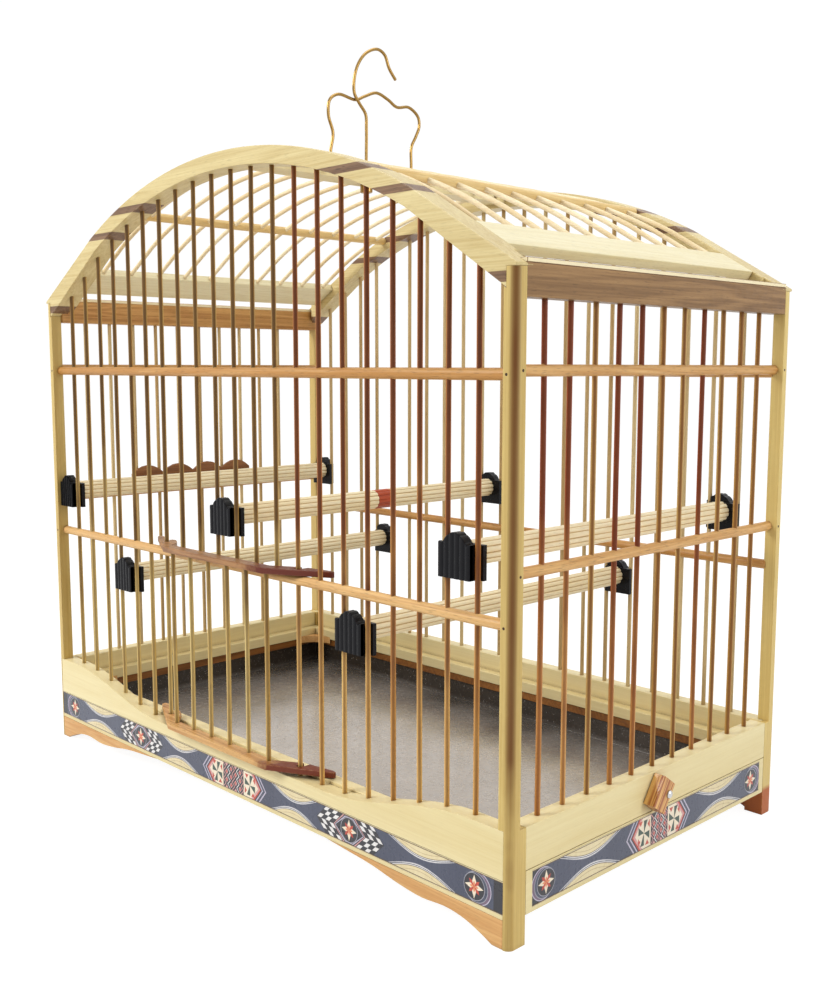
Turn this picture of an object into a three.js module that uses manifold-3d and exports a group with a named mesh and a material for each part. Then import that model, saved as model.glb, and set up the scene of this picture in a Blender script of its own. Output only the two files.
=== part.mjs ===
// A wooden canary breeding cage with an arched roof, a swinging front door and a pull-out floor tray.
// Units are millimetres. X runs along the front, Y from the front to the back and Z up.
// The origin is on the floor, under the middle of the bounding box; the tray pulls out towards +X.
import * as THREE from 'three';
import { mergeVertices } from 'three/addons/utils/BufferGeometryUtils.js';
import Module from 'manifold-3d';

const wasm = await Module();
wasm.setup();

// Driving dimensions.
const CAGE_LENGTH = 450;
const CAGE_DEPTH = 252;
const POST_SIZE = 12;
const POST_TOP = 323;
const POST_ROUND = 4;
const BOARD_THICK = 10;
const BOARD_LAP_END = 4; // the front and back boards stop this far short of the posts' outer faces
const BASE_BOTTOM = 15; // underside of the bottom rails and of the tray front
const RAIL_TOP = 59.5;
const DOOR_SILL = 42; // low middle of the wavy front rail
const SILL_HALF = 88; // half length of the low stretch
const WAVE_END = 197; // where the wave is back at full height, from the middle
const RUNNER_TOP = 17.5;
const RUNNER_REACH = 6;
const INLAY_THICK = 1.25;
const INLAY_BOTTOM = 17.25;
const INLAY_TOP = 34.5;
const TRAY_SEAM = 37.5; // underside of the right bottom rail
const ROD_RADIUS = 1.4;
const ROD_SIDES = 6;
const ROD_INSET = 6; // rod axes behind the outer faces
const ROD_END_ROOM = 15.5; // from a post to the axis of the nearest front or back rod
const SIDE_ROD_END_ROOM = 15.25;
const FRONT_RODS = 21;
const SIDE_RODS = 11;
const RAIL_RADIUS = 2.9;
const RAIL_SIDES = 8;
const FRONT_RAIL_HEIGHTS = [157.5, 274.75];
const SIDE_RAIL_HEIGHTS = [181.75, 276.5];
const TOP_RAIL_BOTTOM = 309.5;
const TOP_RAIL_TOP = 327.25;
const ROOF_TOP = 402;
const ROOF_RADIUS = 345;
const ROOF_ARC = THREE.MathUtils.degToRad(27); // the roof is round up to this angle, then straight
const EAVE_TOP = 324.5;
const ARCH_DEEP = 10;
const ARCH_THICK = 15;
const ARCH_LAP = 6; // the arch ends stop this far short of the posts' outer faces
const ARCH_TONGUE_BOTTOM = 313.5;
const EAVE_UPPER_IN = 39; // upper edge of the eave board, in from the outer face
const EAVE_LOWER_IN = 18;
const EAVE_THICK = 5.5;
const RIDGE_WIDE = 18;
const RIDGE_BOTTOM = 395;
const RIDGE_TOP = 401.5;
const ROOF_RODS = 10;
const ROOF_ROD_END_ROOM = 9.75; // from an arch to the axis of the nearest roof rod
const PURLIN_X = 120; // round roof rails, from the middle
const LEDGE_WIDE = 8;
const LEDGE_BOTTOM = 40;
const LEDGE_TOP = 47.5;
const FRONT_LEDGE_TOP = 44;
const LINING_BOTTOM = 34;
const LINING_THICK = 6.5;
const PAN_TOP = 33.25;
const PAN_SHEET = 1.25;
const PAN_SIDE_GAP = 2.75; // between the pan and the rails' inner faces
const PAN_END_GAP = 2;
const SLIDE_GAP = 0.25;
const SEAT_GAP = 0.3; // between a piece and the wood that it stands in or on
const TRAY_INLAY_TOP = 36.25;
const TRAY_INLAY_BORDER = 5;
const FOOT_LONG = 134;
const DOOR_PIVOT_ROD = 6; // the door swings on this front rod
const DOOR_NOTCH_ROD = 13;
const DOOR_CATCH_ROD = 14;
const SCREEN_SEAM_IN = 1.5; // the front screen's seams, from the axes of the rods beside the doorway
const DOOR_DEEP = 14; // the door's front face, in front of the rods' axes
const STRIP_BACK = 5.5;
const STRIP_THICK = 3.5;
const DOOR_ROD_FORWARD = 8;
const DOOR_BOTTOM = 44.5;
const DOOR_TOP_GAP = 0.35; // top strip above the middle rail
const DOOR_ARM_SLOPE = Math.atan2(21.6, 42); // how far both ends of the door sweep back
const HINGE_HOLE = 1.9;
const HINGE_WALL = 2.3;
const HINGE_PRONG = 24;
const HINGE_HEEL = 15.5; // the thick part around the hinge hole, towards the doorway
const PERCH_RADIUS = 6.45;
const PERCH_FLUTE = 0.7;
const PERCH_FLUTES = 12;
const PERCH_HIGH = 188;
const PERCH_LOW = 136.5;
const CLIP_UP = 11;
const CLIP_SHOULDER = 5.5;
const CLIP_DOWN = 12;
const CLIP_LIP = 2.4; // thickness of the lips that hold the rods
const CLIP_REACH = 3.4; // how far a lip reaches past the axis of its rod
const SCALLOP_FROM = -65;
const SCALLOP_HUMPS = 4;
const SCALLOP_PITCH = 27.5;
const SCALLOP_VALLEY = 195.5;
const SCALLOP_CREST = 201.5;
const SCALLOP_THICK = 2;
const WIRE_RADIUS = 1;
const WIRE_SIDES = 6;
const WIRE_OFFSET = 1.15; // the hook and the frame wire pass side by side
const WIRE_SOCKET = 5; // how deep the wires stand in the ridge board
const NUT_RADIUS = 4;
const NUT_HIGH = 5.5;
const TOGGLE_LONG = 17.8;
const TOGGLE_WIDE = 12;
const TOGGLE_THICK = 7;
const TOGGLE_TILT = THREE.MathUtils.degToRad(54.6);
const TOGGLE_Y = -6.9;
const TOGGLE_Z = 48.1;
const NAIL_RADIUS = 0.8;
const NAIL_HEAD = 2.2;
const NAIL_ALONG = 2; // nail from the middle of the turn button, along it
const NAIL_ACROSS = 3.6;
const NAIL_PROUD = 9; // the nail's head stands out this far to the right of the cage
const DOOR_PROUD = 8; // and the door this far in front of it

// Values that follow from them.
const HALF_X = CAGE_LENGTH / 2;
const HALF_Y = CAGE_DEPTH / 2;
const INNER_X = HALF_X - BOARD_THICK;
const INNER_Y = HALF_Y - BOARD_THICK;
const POST_IN_X = HALF_X - POST_SIZE;
const POST_IN_Y = HALF_Y - POST_SIZE;
const ROD_X = HALF_X - ROD_INSET;
const ROD_Y = HALF_Y - ROD_INSET;
const ARCH_IN_Y = HALF_Y - ARCH_THICK;
const LAP_X = HALF_X - BOARD_LAP_END;
const EAVE_FROM = HALF_X - EAVE_UPPER_IN;
const EAVE_TO = HALF_X - EAVE_LOWER_IN;
const ROD_PITCH = 2 * (POST_IN_X - ROD_END_ROOM) / (FRONT_RODS - 1);
const SIDE_ROD_PITCH = 2 * (POST_IN_Y - SIDE_ROD_END_ROOM) / (SIDE_RODS - 1);
const ROOF_ROD_PITCH = 2 * (ARCH_IN_Y - ROOF_ROD_END_ROOM) / (ROOF_RODS - 1);
const FIRST_ROD_X = -ROD_PITCH * (FRONT_RODS - 1) / 2;
const rodX = (index) => FIRST_ROD_X + ROD_PITCH * index;
const DOORWAY_LEFT = rodX(DOOR_PIVOT_ROD) + SCREEN_SEAM_IN;
const DOORWAY_RIGHT = rodX(DOOR_NOTCH_ROD) - SCREEN_SEAM_IN;

const finish = (color, roughness, metalness = 0) =>
  new THREE.MeshStandardMaterial({ color, roughness, metalness, flatShading: true });
const paleWood = finish(0xe6d49a, 0.45);
const walnut = finish(0x8f6f55, 0.5);
const railWood = finish(0xc98a4b, 0.5);
const rodWood = finish(0xc8a35a, 0.4);
const doorWood = finish(0xb07b48, 0.55);
const footWood = finish(0xd9a566, 0.5);
const inlayWood = finish(0x4a5163, 0.35);
const liningWood = finish(0x9c5a1e, 0.55);
const trayMetal = finish(0x8b8785, 0.4, 0.8);
const blackPlastic = finish(0x1c1c22, 0.35);
const brass = finish(0xb58a3c, 0.3, 0.9);
const steel = finish(0xc9c9c9, 0.25, 0.9);

// --- making and joining solids ---

function solid(geometry) {
  const bare = geometry.clone();
  bare.deleteAttribute('normal');
  bare.deleteAttribute('uv');
  const merged = mergeVertices(bare, 1e-4);
  return new wasm.Manifold(new wasm.Mesh({
    numProp: 3,
    vertProperties: merged.attributes.position.array,
    triVerts: new Uint32Array(merged.index.array),
  }));
}

function geometryOf(body) {
  const mesh = body.getMesh();
  const geometry = new THREE.BufferGeometry();
  geometry.setAttribute('position', new THREE.BufferAttribute(mesh.vertProperties, 3));
  geometry.setIndex(new THREE.BufferAttribute(mesh.triVerts, 1));
  geometry.computeVertexNormals();
  return geometry;
}

function join(geometries) {
  const bodies = geometries.map(solid);
  return geometryOf(bodies.reduce((all, body) => all.add(body)));
}

function cut(geometry, tools) {
  return geometryOf(tools.map(solid).reduce((all, tool) => all.subtract(tool), solid(geometry)));
}

function box([x0, x1], [y0, y1], [z0, z1]) {
  const geometry = new THREE.BoxGeometry(x1 - x0, y1 - y0, z1 - z0);
  return geometry.translate((x0 + x1) / 2, (y0 + y1) / 2, (z0 + z1) / 2);
}

function outline(points) {
  return new THREE.Shape(points.map(([a, b]) => new THREE.Vector2(a, b)));
}

// A shape drawn in X and Z, as deep as the two Y values.
function alongY(shape, [y0, y1], curveSegments = 12) {
  const geometry = new THREE.ExtrudeGeometry(shape, { depth: y1 - y0, bevelEnabled: false, curveSegments });
  return geometry.rotateX(Math.PI / 2).translate(0, y1, 0);
}

// A shape drawn in Y and Z, as long as the two X values.
function alongX(shape, [x0, x1], curveSegments = 12) {
  const geometry = new THREE.ExtrudeGeometry(shape, { depth: x1 - x0, bevelEnabled: false, curveSegments });
  return geometry.rotateX(Math.PI / 2).rotateZ(Math.PI / 2).translate(x0, 0, 0);
}

// A shape drawn in X and Y, as high as the two Z values.
function alongZ(shape, [z0, z1], curveSegments = 12) {
  const geometry = new THREE.ExtrudeGeometry(shape, { depth: z1 - z0, bevelEnabled: false, curveSegments });
  return geometry.translate(0, 0, z0);
}

function uprightRod(x, y, [z0, z1], radius = ROD_RADIUS, sides = ROD_SIDES) {
  const geometry = new THREE.CylinderGeometry(radius, radius, z1 - z0, sides);
  return geometry.rotateX(Math.PI / 2).translate(x, y, (z0 + z1) / 2);
}

function railAlongX([x0, x1], y, z, radius = RAIL_RADIUS, sides = RAIL_SIDES) {
  const geometry = new THREE.CylinderGeometry(radius, radius, x1 - x0, sides);
  return geometry.rotateZ(Math.PI / 2).translate((x0 + x1) / 2, y, z);
}

function railAlongY(x, halfLength, z, radius = RAIL_RADIUS, sides = RAIL_SIDES) {
  const geometry = new THREE.CylinderGeometry(radius, radius, 2 * halfLength, sides);
  return geometry.translate(x, 0, z);
}

function sweep(curve, radius, sides, steps) {
  const ring = Array.from({ length: sides }, (_, i) => {
    const angle = 2 * Math.PI * (i + 0.5) / sides;
    return [radius * Math.cos(angle), radius * Math.sin(angle)];
  });
  return new THREE.ExtrudeGeometry(outline(ring), { steps, bevelEnabled: false, extrudePath: curve });
}

const mirrorX = (shape) => shape.map(([a, b]) => [-a, b]).reverse();

// Every piece is drawn around the middle of the four posts. The cage then shifts so that the origin
// is under the middle of everything, with the door and the nail that stand out.
const object = new THREE.Group();
const cage = new THREE.Group();
cage.position.set(-NAIL_PROUD / 2, DOOR_PROUD / 2, 0);
object.add(cage);

function group(parent = cage) {
  const made = new THREE.Group();
  parent.add(made);
  return made;
}

function piece(parent, name, geometry, material) {
  const mesh = new THREE.Mesh(geometry, material);
  mesh.name = name;
  parent.add(mesh);
  return mesh;
}

// --- the roof's outline ---

const ARC_END_X = ROOF_RADIUS * Math.sin(ROOF_ARC);
const ARC_END_Z = ROOF_TOP - ROOF_RADIUS * (1 - Math.cos(ROOF_ARC));
const SLOPE_ANGLE = Math.atan2(ARC_END_Z - EAVE_TOP, HALF_X - ARC_END_X);
const INNER_ARC_X = (ROOF_RADIUS - ARCH_DEEP) * Math.sin(ROOF_ARC);
const INNER_ARC_Z = ARC_END_Z - ARCH_DEEP * Math.cos(ROOF_ARC);
const ARCH_TIP_X = HALF_X - ARCH_LAP;
const INNER_SLOPE = (INNER_ARC_Z - ARCH_TONGUE_BOTTOM) / (ARCH_TIP_X - INNER_ARC_X);

// Height of the arch's underside above a point of the front or back.
function archUnderside(x) {
  const across = Math.abs(x);
  if (across > INNER_ARC_X) {
    return INNER_ARC_Z - INNER_SLOPE * (across - INNER_ARC_X);
  }
  const radius = ROOF_RADIUS - ARCH_DEEP;
  return ROOF_TOP - ROOF_RADIUS + Math.sqrt(radius * radius - across * across);
}

// A point at a depth under the roof's surface, at a distance along it from the ridge.
function roofPoint(along, depth) {
  const arcLength = ROOF_RADIUS * ROOF_ARC;
  const angle = Math.min(Math.abs(along) / ROOF_RADIUS, ROOF_ARC);
  const beyond = Math.max(Math.abs(along) - arcLength, 0);
  const lean = beyond > 0 ? SLOPE_ANGLE : angle;
  const x = ROOF_RADIUS * Math.sin(angle) + beyond * Math.cos(SLOPE_ANGLE) - depth * Math.sin(lean);
  const drop = ROOF_RADIUS * (1 - Math.cos(angle)) + beyond * Math.sin(SLOPE_ANGLE);
  return [Math.sign(along) * x, ROOF_TOP - drop - depth * Math.cos(lean)];
}

const roofAlong = (x) => ROOF_RADIUS * ROOF_ARC + (x - ARC_END_X) / Math.cos(SLOPE_ANGLE);

// --- bottom frame ---

// Height of the wavy front rail's top edge.
function frontRailTop(x) {
  const share = THREE.MathUtils.clamp((Math.abs(x) - SILL_HALF) / (WAVE_END - SILL_HALF), 0, 1);
  return DOOR_SILL + (RAIL_TOP - DOOR_SILL) * share * share * (3 - 2 * share);
}

const inlayGroove = (x0, x1) =>
  box([x0, x1], [-HALF_Y - 1, -HALF_Y + INLAY_THICK], [INLAY_BOTTOM, INLAY_TOP]);

function makeRunner() {
  return box([-POST_IN_X, POST_IN_X], [-INNER_Y, -INNER_Y + RUNNER_REACH], [BASE_BOTTOM, RUNNER_TOP]);
}

function makeLongRail(topHeight) {
  const waveSteps = 40;
  const points = [[LAP_X, BASE_BOTTOM]];
  for (let i = 0; i <= waveSteps; i++) {
    const x = LAP_X - 2 * LAP_X * i / waveSteps;
    points.push([x, topHeight(x)]);
  }
  points.push([-LAP_X, BASE_BOTTOM]);
  const board = alongY(outline(points), [-HALF_Y, -INNER_Y]);
  return cut(join([board, makeRunner()]), [inlayGroove(-HALF_X, HALF_X)]);
}

function makePlainLongRail() {
  const board = box([-LAP_X, LAP_X], [-HALF_Y, -INNER_Y], [BASE_BOTTOM, RAIL_TOP]);
  return cut(join([board, makeRunner()]), [inlayGroove(-HALF_X, HALF_X)]);
}

function addBottomFrame() {
  const frame = group();
  const inlay = box([-LAP_X, LAP_X], [-HALF_Y, -HALF_Y + INLAY_THICK], [INLAY_BOTTOM, INLAY_TOP]);
  piece(frame, 'front_rail', makeLongRail(frontRailTop), paleWood);
  piece(frame, 'front_inlay', inlay, inlayWood);
  const back = group(frame);
  back.rotation.z = Math.PI;
  piece(back, 'back_rail', makePlainLongRail(), paleWood);
  piece(back, 'back_inlay', inlay.clone(), inlayWood);

  const endSpan = [-POST_IN_Y, POST_IN_Y];
  const leftBoard = box([-HALF_X, -INNER_X], endSpan, [BASE_BOTTOM, RAIL_TOP]);
  const inlayHigh = [INLAY_BOTTOM, INLAY_TOP];
  const leftGroove = box([-HALF_X - 1, -HALF_X + INLAY_THICK], [-HALF_Y, HALF_Y], inlayHigh);
  piece(frame, 'left_rail', cut(leftBoard, [leftGroove]), paleWood);
  piece(frame, 'left_inlay', box([-HALF_X, -HALF_X + INLAY_THICK], endSpan, inlayHigh), inlayWood);
  piece(frame, 'right_rail', box([INNER_X, HALF_X], endSpan, [TRAY_SEAM, RAIL_TOP]), paleWood);

  const ledgeIn = INNER_X - LEDGE_WIDE;
  const ledgeInY = INNER_Y - LEDGE_WIDE;
  piece(frame, 'left_ledge', box([-INNER_X, -ledgeIn], endSpan, [LEDGE_BOTTOM, LEDGE_TOP]), paleWood);
  piece(frame, 'right_ledge', box([ledgeIn, INNER_X], endSpan, [LEDGE_BOTTOM, LEDGE_TOP]), paleWood);
  const backLedge = box([-ledgeIn, ledgeIn], [ledgeInY, INNER_Y], [LEDGE_BOTTOM, LEDGE_TOP]);
  piece(frame, 'back_ledge', backLedge, paleWood);
  const frontLedge = box([-ledgeIn, ledgeIn], [-INNER_Y, -ledgeInY], [LEDGE_BOTTOM, FRONT_LEDGE_TOP]);
  piece(frame, 'front_ledge', frontLedge, paleWood);
  const liningHigh = [LINING_BOTTOM, LEDGE_BOTTOM];
  const leftLining = box([-INNER_X, -INNER_X + LINING_THICK], endSpan, liningHigh);
  const backLining = box([-INNER_X + 1, ledgeIn], [INNER_Y - LINING_THICK, POST_IN_Y], liningHigh);
  piece(frame, 'lining', join([leftLining, backLining]), liningWood);
}

// A foot board: flat on the floor under the post, then a wavy lower edge that runs up to the rail.
function makeFoot() {
  const flat = 7;
  const wave = [[15, 3.4], [26, 6.8], [39, 8.2], [56, 7], [74, 8.6], [96, 12]];
  const shape = new THREE.Shape();
  shape.moveTo(-LAP_X, BASE_BOTTOM);
  shape.lineTo(-LAP_X, 0);
  shape.lineTo(-LAP_X + flat, 0);
  shape.splineThru([...wave, [FOOT_LONG, BASE_BOTTOM]].map(([a, b]) => new THREE.Vector2(-LAP_X + a, b)));
  return alongY(shape, [-HALF_Y, -INNER_Y], 4);
}

function addFeet() {
  const names = [['front_left_foot', 'front_right_foot'], ['back_right_foot', 'back_left_foot']];
  names.forEach(([left, right], side) => {
    const row = group();
    row.rotation.z = side * Math.PI;
    piece(row, left, makeFoot(), footWood);
    const mirrored = geometryOf(solid(makeFoot()).mirror([1, 0, 0]));
    piece(row, right, mirrored, footWood);
  });
}

// --- posts ---

function makePost() {
  const section = new THREE.Shape();
  section.moveTo(-POST_IN_X, -POST_IN_Y);
  section.lineTo(-HALF_X, -POST_IN_Y);
  section.lineTo(-HALF_X, -HALF_Y + POST_ROUND);
  section.absarc(-HALF_X + POST_ROUND, -HALF_Y + POST_ROUND, POST_ROUND, Math.PI, 1.5 * Math.PI, false);
  section.lineTo(-POST_IN_X, -HALF_Y);
  const post = alongZ(section, [0, POST_TOP], 4);
  const beyond = 1;
  const notchHigh = [-beyond, RAIL_TOP];
  const boardNotch = box([-LAP_X, -POST_IN_X + beyond], [-HALF_Y - beyond, -INNER_Y], notchHigh);
  const tongueClear = ARCH_TONGUE_BOTTOM - SEAT_GAP;
  const tongueRise = INNER_SLOPE * (ARCH_TIP_X - POST_IN_X + beyond);
  const tongue = alongY(outline([
    [-ARCH_TIP_X, tongueClear],
    [-POST_IN_X + beyond, tongueClear + tongueRise],
    [-POST_IN_X + beyond, POST_TOP + beyond],
    [-ARCH_TIP_X, POST_TOP + beyond],
  ]), [-HALF_Y - beyond, -POST_IN_Y + beyond]);
  return cut(post, [boardNotch, tongue]);
}

function addPosts() {
  const post = makePost();
  const mirrored = () => geometryOf(solid(post).mirror([1, 0, 0]));
  const names = [['post_front_left', 'post_front_right'], ['post_back_right', 'post_back_left']];
  names.forEach(([left, right], side) => {
    const row = group();
    row.rotation.z = side * Math.PI;
    piece(row, left, post.clone(), paleWood);
    piece(row, right, mirrored(), paleWood);
  });
}

// --- wall screens: upright rods through two round middle rails ---

const hingeX = rodX(DOOR_PIVOT_ROD);
const catchX = rodX(DOOR_CATCH_ROD);
const rodTop = (x) => archUnderside(Math.abs(x) + ROD_RADIUS) - SEAT_GAP;
const catchSpan = [frontRailTop(catchX) + SEAT_GAP, rodTop(catchX)];

function longScreen([firstRod, lastRod], [x0, x1], y, bottomOf) {
  const parts = FRONT_RAIL_HEIGHTS.map((z) => railAlongX([x0, x1], y, z));
  for (let index = firstRod; index <= lastRod; index++) {
    if (index !== DOOR_CATCH_ROD || y > 0) {
      const x = rodX(index);
      parts.push(uprightRod(x, y, [bottomOf(x), rodTop(x)]));
    }
  }
  return join(parts);
}

// The front screen has three panels: one on each side of the doorway, and a short one over it.
function addFrontScreen(walls) {
  const y = -ROD_Y;
  const onRail = (x) => frontRailTop(Math.abs(x) + ROD_RADIUS) + SEAT_GAP;
  const onMiddleRail = () => FRONT_RAIL_HEIGHTS[0];
  const leftRods = [0, DOOR_PIVOT_ROD];
  const middleRods = [DOOR_PIVOT_ROD + 1, DOOR_NOTCH_ROD - 1];
  const rightRods = [DOOR_NOTCH_ROD, FRONT_RODS - 1];
  const left = longScreen(leftRods, [-POST_IN_X, DOORWAY_LEFT], y, onRail);
  const middle = longScreen(middleRods, [DOORWAY_LEFT, DOORWAY_RIGHT], y, onMiddleRail);
  const right = longScreen(rightRods, [DOORWAY_RIGHT, POST_IN_X], y, onRail);
  const catchHole = uprightRod(catchX, y, catchSpan, ROD_RADIUS + SEAT_GAP);
  piece(walls, 'front_screen_left', left, rodWood);
  piece(walls, 'front_screen_middle', middle, rodWood);
  piece(walls, 'front_screen_right', cut(right, [catchHole]), rodWood);
  piece(walls, 'catch_rod', uprightRod(catchX, y, catchSpan), rodWood);
}

function makeSideScreen(x) {
  const parts = SIDE_RAIL_HEIGHTS.map((z) => railAlongY(x, POST_IN_Y, z));
  for (let index = 0; index < SIDE_RODS; index++) {
    const y = SIDE_ROD_PITCH * (index - (SIDE_RODS - 1) / 2);
    parts.push(uprightRod(x, y, [RAIL_TOP + SEAT_GAP, TOP_RAIL_BOTTOM - SEAT_GAP]));
  }
  return join(parts);
}

function addWalls() {
  const walls = group();
  addFrontScreen(walls);
  const onRail = () => RAIL_TOP + SEAT_GAP;
  const backScreen = longScreen([0, FRONT_RODS - 1], [-POST_IN_X, POST_IN_X], ROD_Y, onRail);
  piece(walls, 'back_screen', backScreen, rodWood);
  piece(walls, 'left_screen', makeSideScreen(-ROD_X), rodWood);
  piece(walls, 'right_screen', makeSideScreen(ROD_X), rodWood);
  const span = [-POST_IN_Y, POST_IN_Y];
  const height = [TOP_RAIL_BOTTOM, TOP_RAIL_TOP];
  piece(walls, 'left_top_rail', box([-HALF_X, -INNER_X], span, height), walnut);
  piece(walls, 'right_top_rail', box([INNER_X, HALF_X], span, height), walnut);
}

// --- roof ---

function makeArch() {
  const shape = new THREE.Shape();
  const centreZ = ROOF_TOP - ROOF_RADIUS;
  const upright = Math.PI / 2;
  shape.moveTo(-HALF_X, EAVE_TOP);
  shape.lineTo(-HALF_X, POST_TOP);
  shape.lineTo(-ARCH_TIP_X, POST_TOP);
  shape.lineTo(-ARCH_TIP_X, ARCH_TONGUE_BOTTOM);
  shape.lineTo(-INNER_ARC_X, INNER_ARC_Z);
  shape.absarc(0, centreZ, ROOF_RADIUS - ARCH_DEEP, upright + ROOF_ARC, upright - ROOF_ARC, true);
  shape.lineTo(ARCH_TIP_X, ARCH_TONGUE_BOTTOM);
  shape.lineTo(ARCH_TIP_X, POST_TOP);
  shape.lineTo(HALF_X, POST_TOP);
  shape.lineTo(HALF_X, EAVE_TOP);
  shape.absarc(0, centreZ, ROOF_RADIUS, upright - ROOF_ARC, upright + ROOF_ARC, false);
  const arch = alongY(shape, [-HALF_Y, -ARCH_IN_Y], 18);
  const beyond = 1;
  const endClear = (x0, x1) => box([x0, x1], [-POST_IN_Y, -ARCH_IN_Y + beyond], [0, ROOF_TOP]);
  return cut(arch, [
    endClear(-HALF_X - beyond, -POST_IN_X + SEAT_GAP),
    endClear(POST_IN_X - SEAT_GAP, HALF_X + beyond),
  ]);
}

function eaveShape() {
  const lower = roofAlong(EAVE_TO);
  const upper = roofAlong(EAVE_FROM);
  const inner = [roofPoint(upper, 0), roofPoint(upper, EAVE_THICK)];
  return [...inner, roofPoint(lower, EAVE_THICK), roofPoint(lower, 0)];
}

// The line of a roof rod, from one eave board over the ridge to the other.
class RoofLine extends THREE.Curve {
  constructor(y, depth) {
    super();
    this.y = y;
    this.depth = depth;
    this.reach = roofAlong(EAVE_FROM) - SEAT_GAP;
  }

  getPoint(share) {
    const [x, z] = roofPoint((2 * share - 1) * this.reach, this.depth);
    return new THREE.Vector3(x, this.y, z);
  }
}

const ROOF_ROD_DEPTH = EAVE_THICK / 2;
const roofRodY = (index) => ROOF_ROD_PITCH * (index - (ROOF_RODS - 1) / 2);
const roofRodSteps = 18;

function roofRods(radius) {
  return Array.from({ length: ROOF_RODS }, (_, index) =>
    sweep(new RoofLine(roofRodY(index), ROOF_ROD_DEPTH), radius, ROD_SIDES, roofRodSteps));
}

function makeRoofScreen() {
  const purlinZ = roofPoint(ROOF_RADIUS * Math.asin(PURLIN_X / ROOF_RADIUS), RAIL_RADIUS)[1];
  const purlins = [-PURLIN_X, PURLIN_X].map((x) => railAlongY(x, ARCH_IN_Y, purlinZ));
  return join([...purlins, ...roofRods(ROD_RADIUS)]);
}

function makeRidge() {
  const board = box([-RIDGE_WIDE / 2, RIDGE_WIDE / 2], [-ARCH_IN_Y, ARCH_IN_Y], [RIDGE_BOTTOM, RIDGE_TOP]);
  const socketRadius = WIRE_RADIUS + SEAT_GAP;
  const socket = (x, y, from) => uprightRod(x, y, [from, RIDGE_TOP + 1], socketRadius, WIRE_SIDES);
  const rodHoles = Array.from({ length: ROOF_RODS }, (_, index) => {
    const z = ROOF_TOP - ROOF_ROD_DEPTH;
    return railAlongX([-RIDGE_WIDE, RIDGE_WIDE], roofRodY(index), z, ROD_RADIUS + 2 * SEAT_GAP, ROD_SIDES);
  });
  return cut(board, [
    ...rodHoles,
    socket(-WIRE_OFFSET, FRAME_WIRE[0][0], SOCKET_Z - SEAT_GAP),
    socket(-WIRE_OFFSET, FRAME_WIRE[FRAME_WIRE.length - 1][0], SOCKET_Z - SEAT_GAP),
    socket(WIRE_OFFSET, HOOK_WIRE[0][0], RIDGE_BOTTOM - 1),
  ]);
}

// The hanger's two wires, bent by hand, as points of Y and Z. The hook's leg goes through the ridge board
// and into a nut under it.
const SOCKET_Z = RIDGE_TOP - WIRE_SOCKET;
const FRAME_WIRE = [
  [-43.1, SOCKET_Z], [-43.1, 412], [-41, 423.6], [-44.6, 434], [-43.5, 443.5], [-36.5, 448],
  [-22.1, 446.9], [-14, 450.4], [-4, 454], [6, 451.4], [13.9, 447.9], [25, 449.4],
  [33.5, 444.5], [34.6, 438.5], [31.5, 431.5], [27.4, 424], [27.2, 412], [27.2, SOCKET_Z],
];
const HOOK_WIRE = [
  [-15.2, RIDGE_BOTTOM - NUT_HIGH / 2], [-15.2, 410], [-15, 430], [-15.6, 438.5], [-21, 444.6], [-25, 450],
  [-25.2, 458], [-22, 468], [-15, 476.4], [-5.2, 480.6], [1, 478.2], [5, 470.5], [10.8, 464],
];

function makeWire(points, x, steps) {
  const bends = points.map(([y, z]) => new THREE.Vector3(x, y, z));
  const curve = new THREE.CatmullRomCurve3(bends, false, 'centripetal');
  return sweep(curve, WIRE_RADIUS, WIRE_SIDES, steps);
}

function addRoof() {
  const roof = group();
  piece(roof, 'front_arch', makeArch(), paleWood);
  const back = group(roof);
  back.rotation.z = Math.PI;
  piece(back, 'back_arch', makeArch(), paleWood);
  const boardSpan = [-ARCH_IN_Y, ARCH_IN_Y];
  piece(roof, 'right_eave_board', alongY(outline(eaveShape()), boardSpan), paleWood);
  piece(roof, 'left_eave_board', alongY(outline(mirrorX(eaveShape())), boardSpan), paleWood);
  piece(roof, 'roof_screen', makeRoofScreen(), rodWood);
  piece(roof, 'ridge_board', makeRidge(), paleWood);

  const hanger = group(roof);
  piece(hanger, 'hanger_frame', makeWire(FRAME_WIRE, -WIRE_OFFSET, 64), brass);
  const nutSpan = [RIDGE_BOTTOM - NUT_HIGH, RIDGE_BOTTOM];
  const nut = uprightRod(WIRE_OFFSET, HOOK_WIRE[0][0], nutSpan, NUT_RADIUS, 12);
  piece(hanger, 'hanger_hook', join([makeWire(HOOK_WIRE, WIRE_OFFSET, 50), nut]), brass);
}

// --- perches and their end clips ---

function makePerch(halfLength) {
  const ring = Array.from({ length: 2 * PERCH_FLUTES }, (_, i) => {
    const angle = Math.PI * i / PERCH_FLUTES;
    const radius = PERCH_RADIUS - (i % 2) * PERCH_FLUTE;
    return [radius * Math.cos(angle), radius * Math.sin(angle)];
  });
  return alongY(outline(ring), [-halfLength, halfLength]);
}

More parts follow.
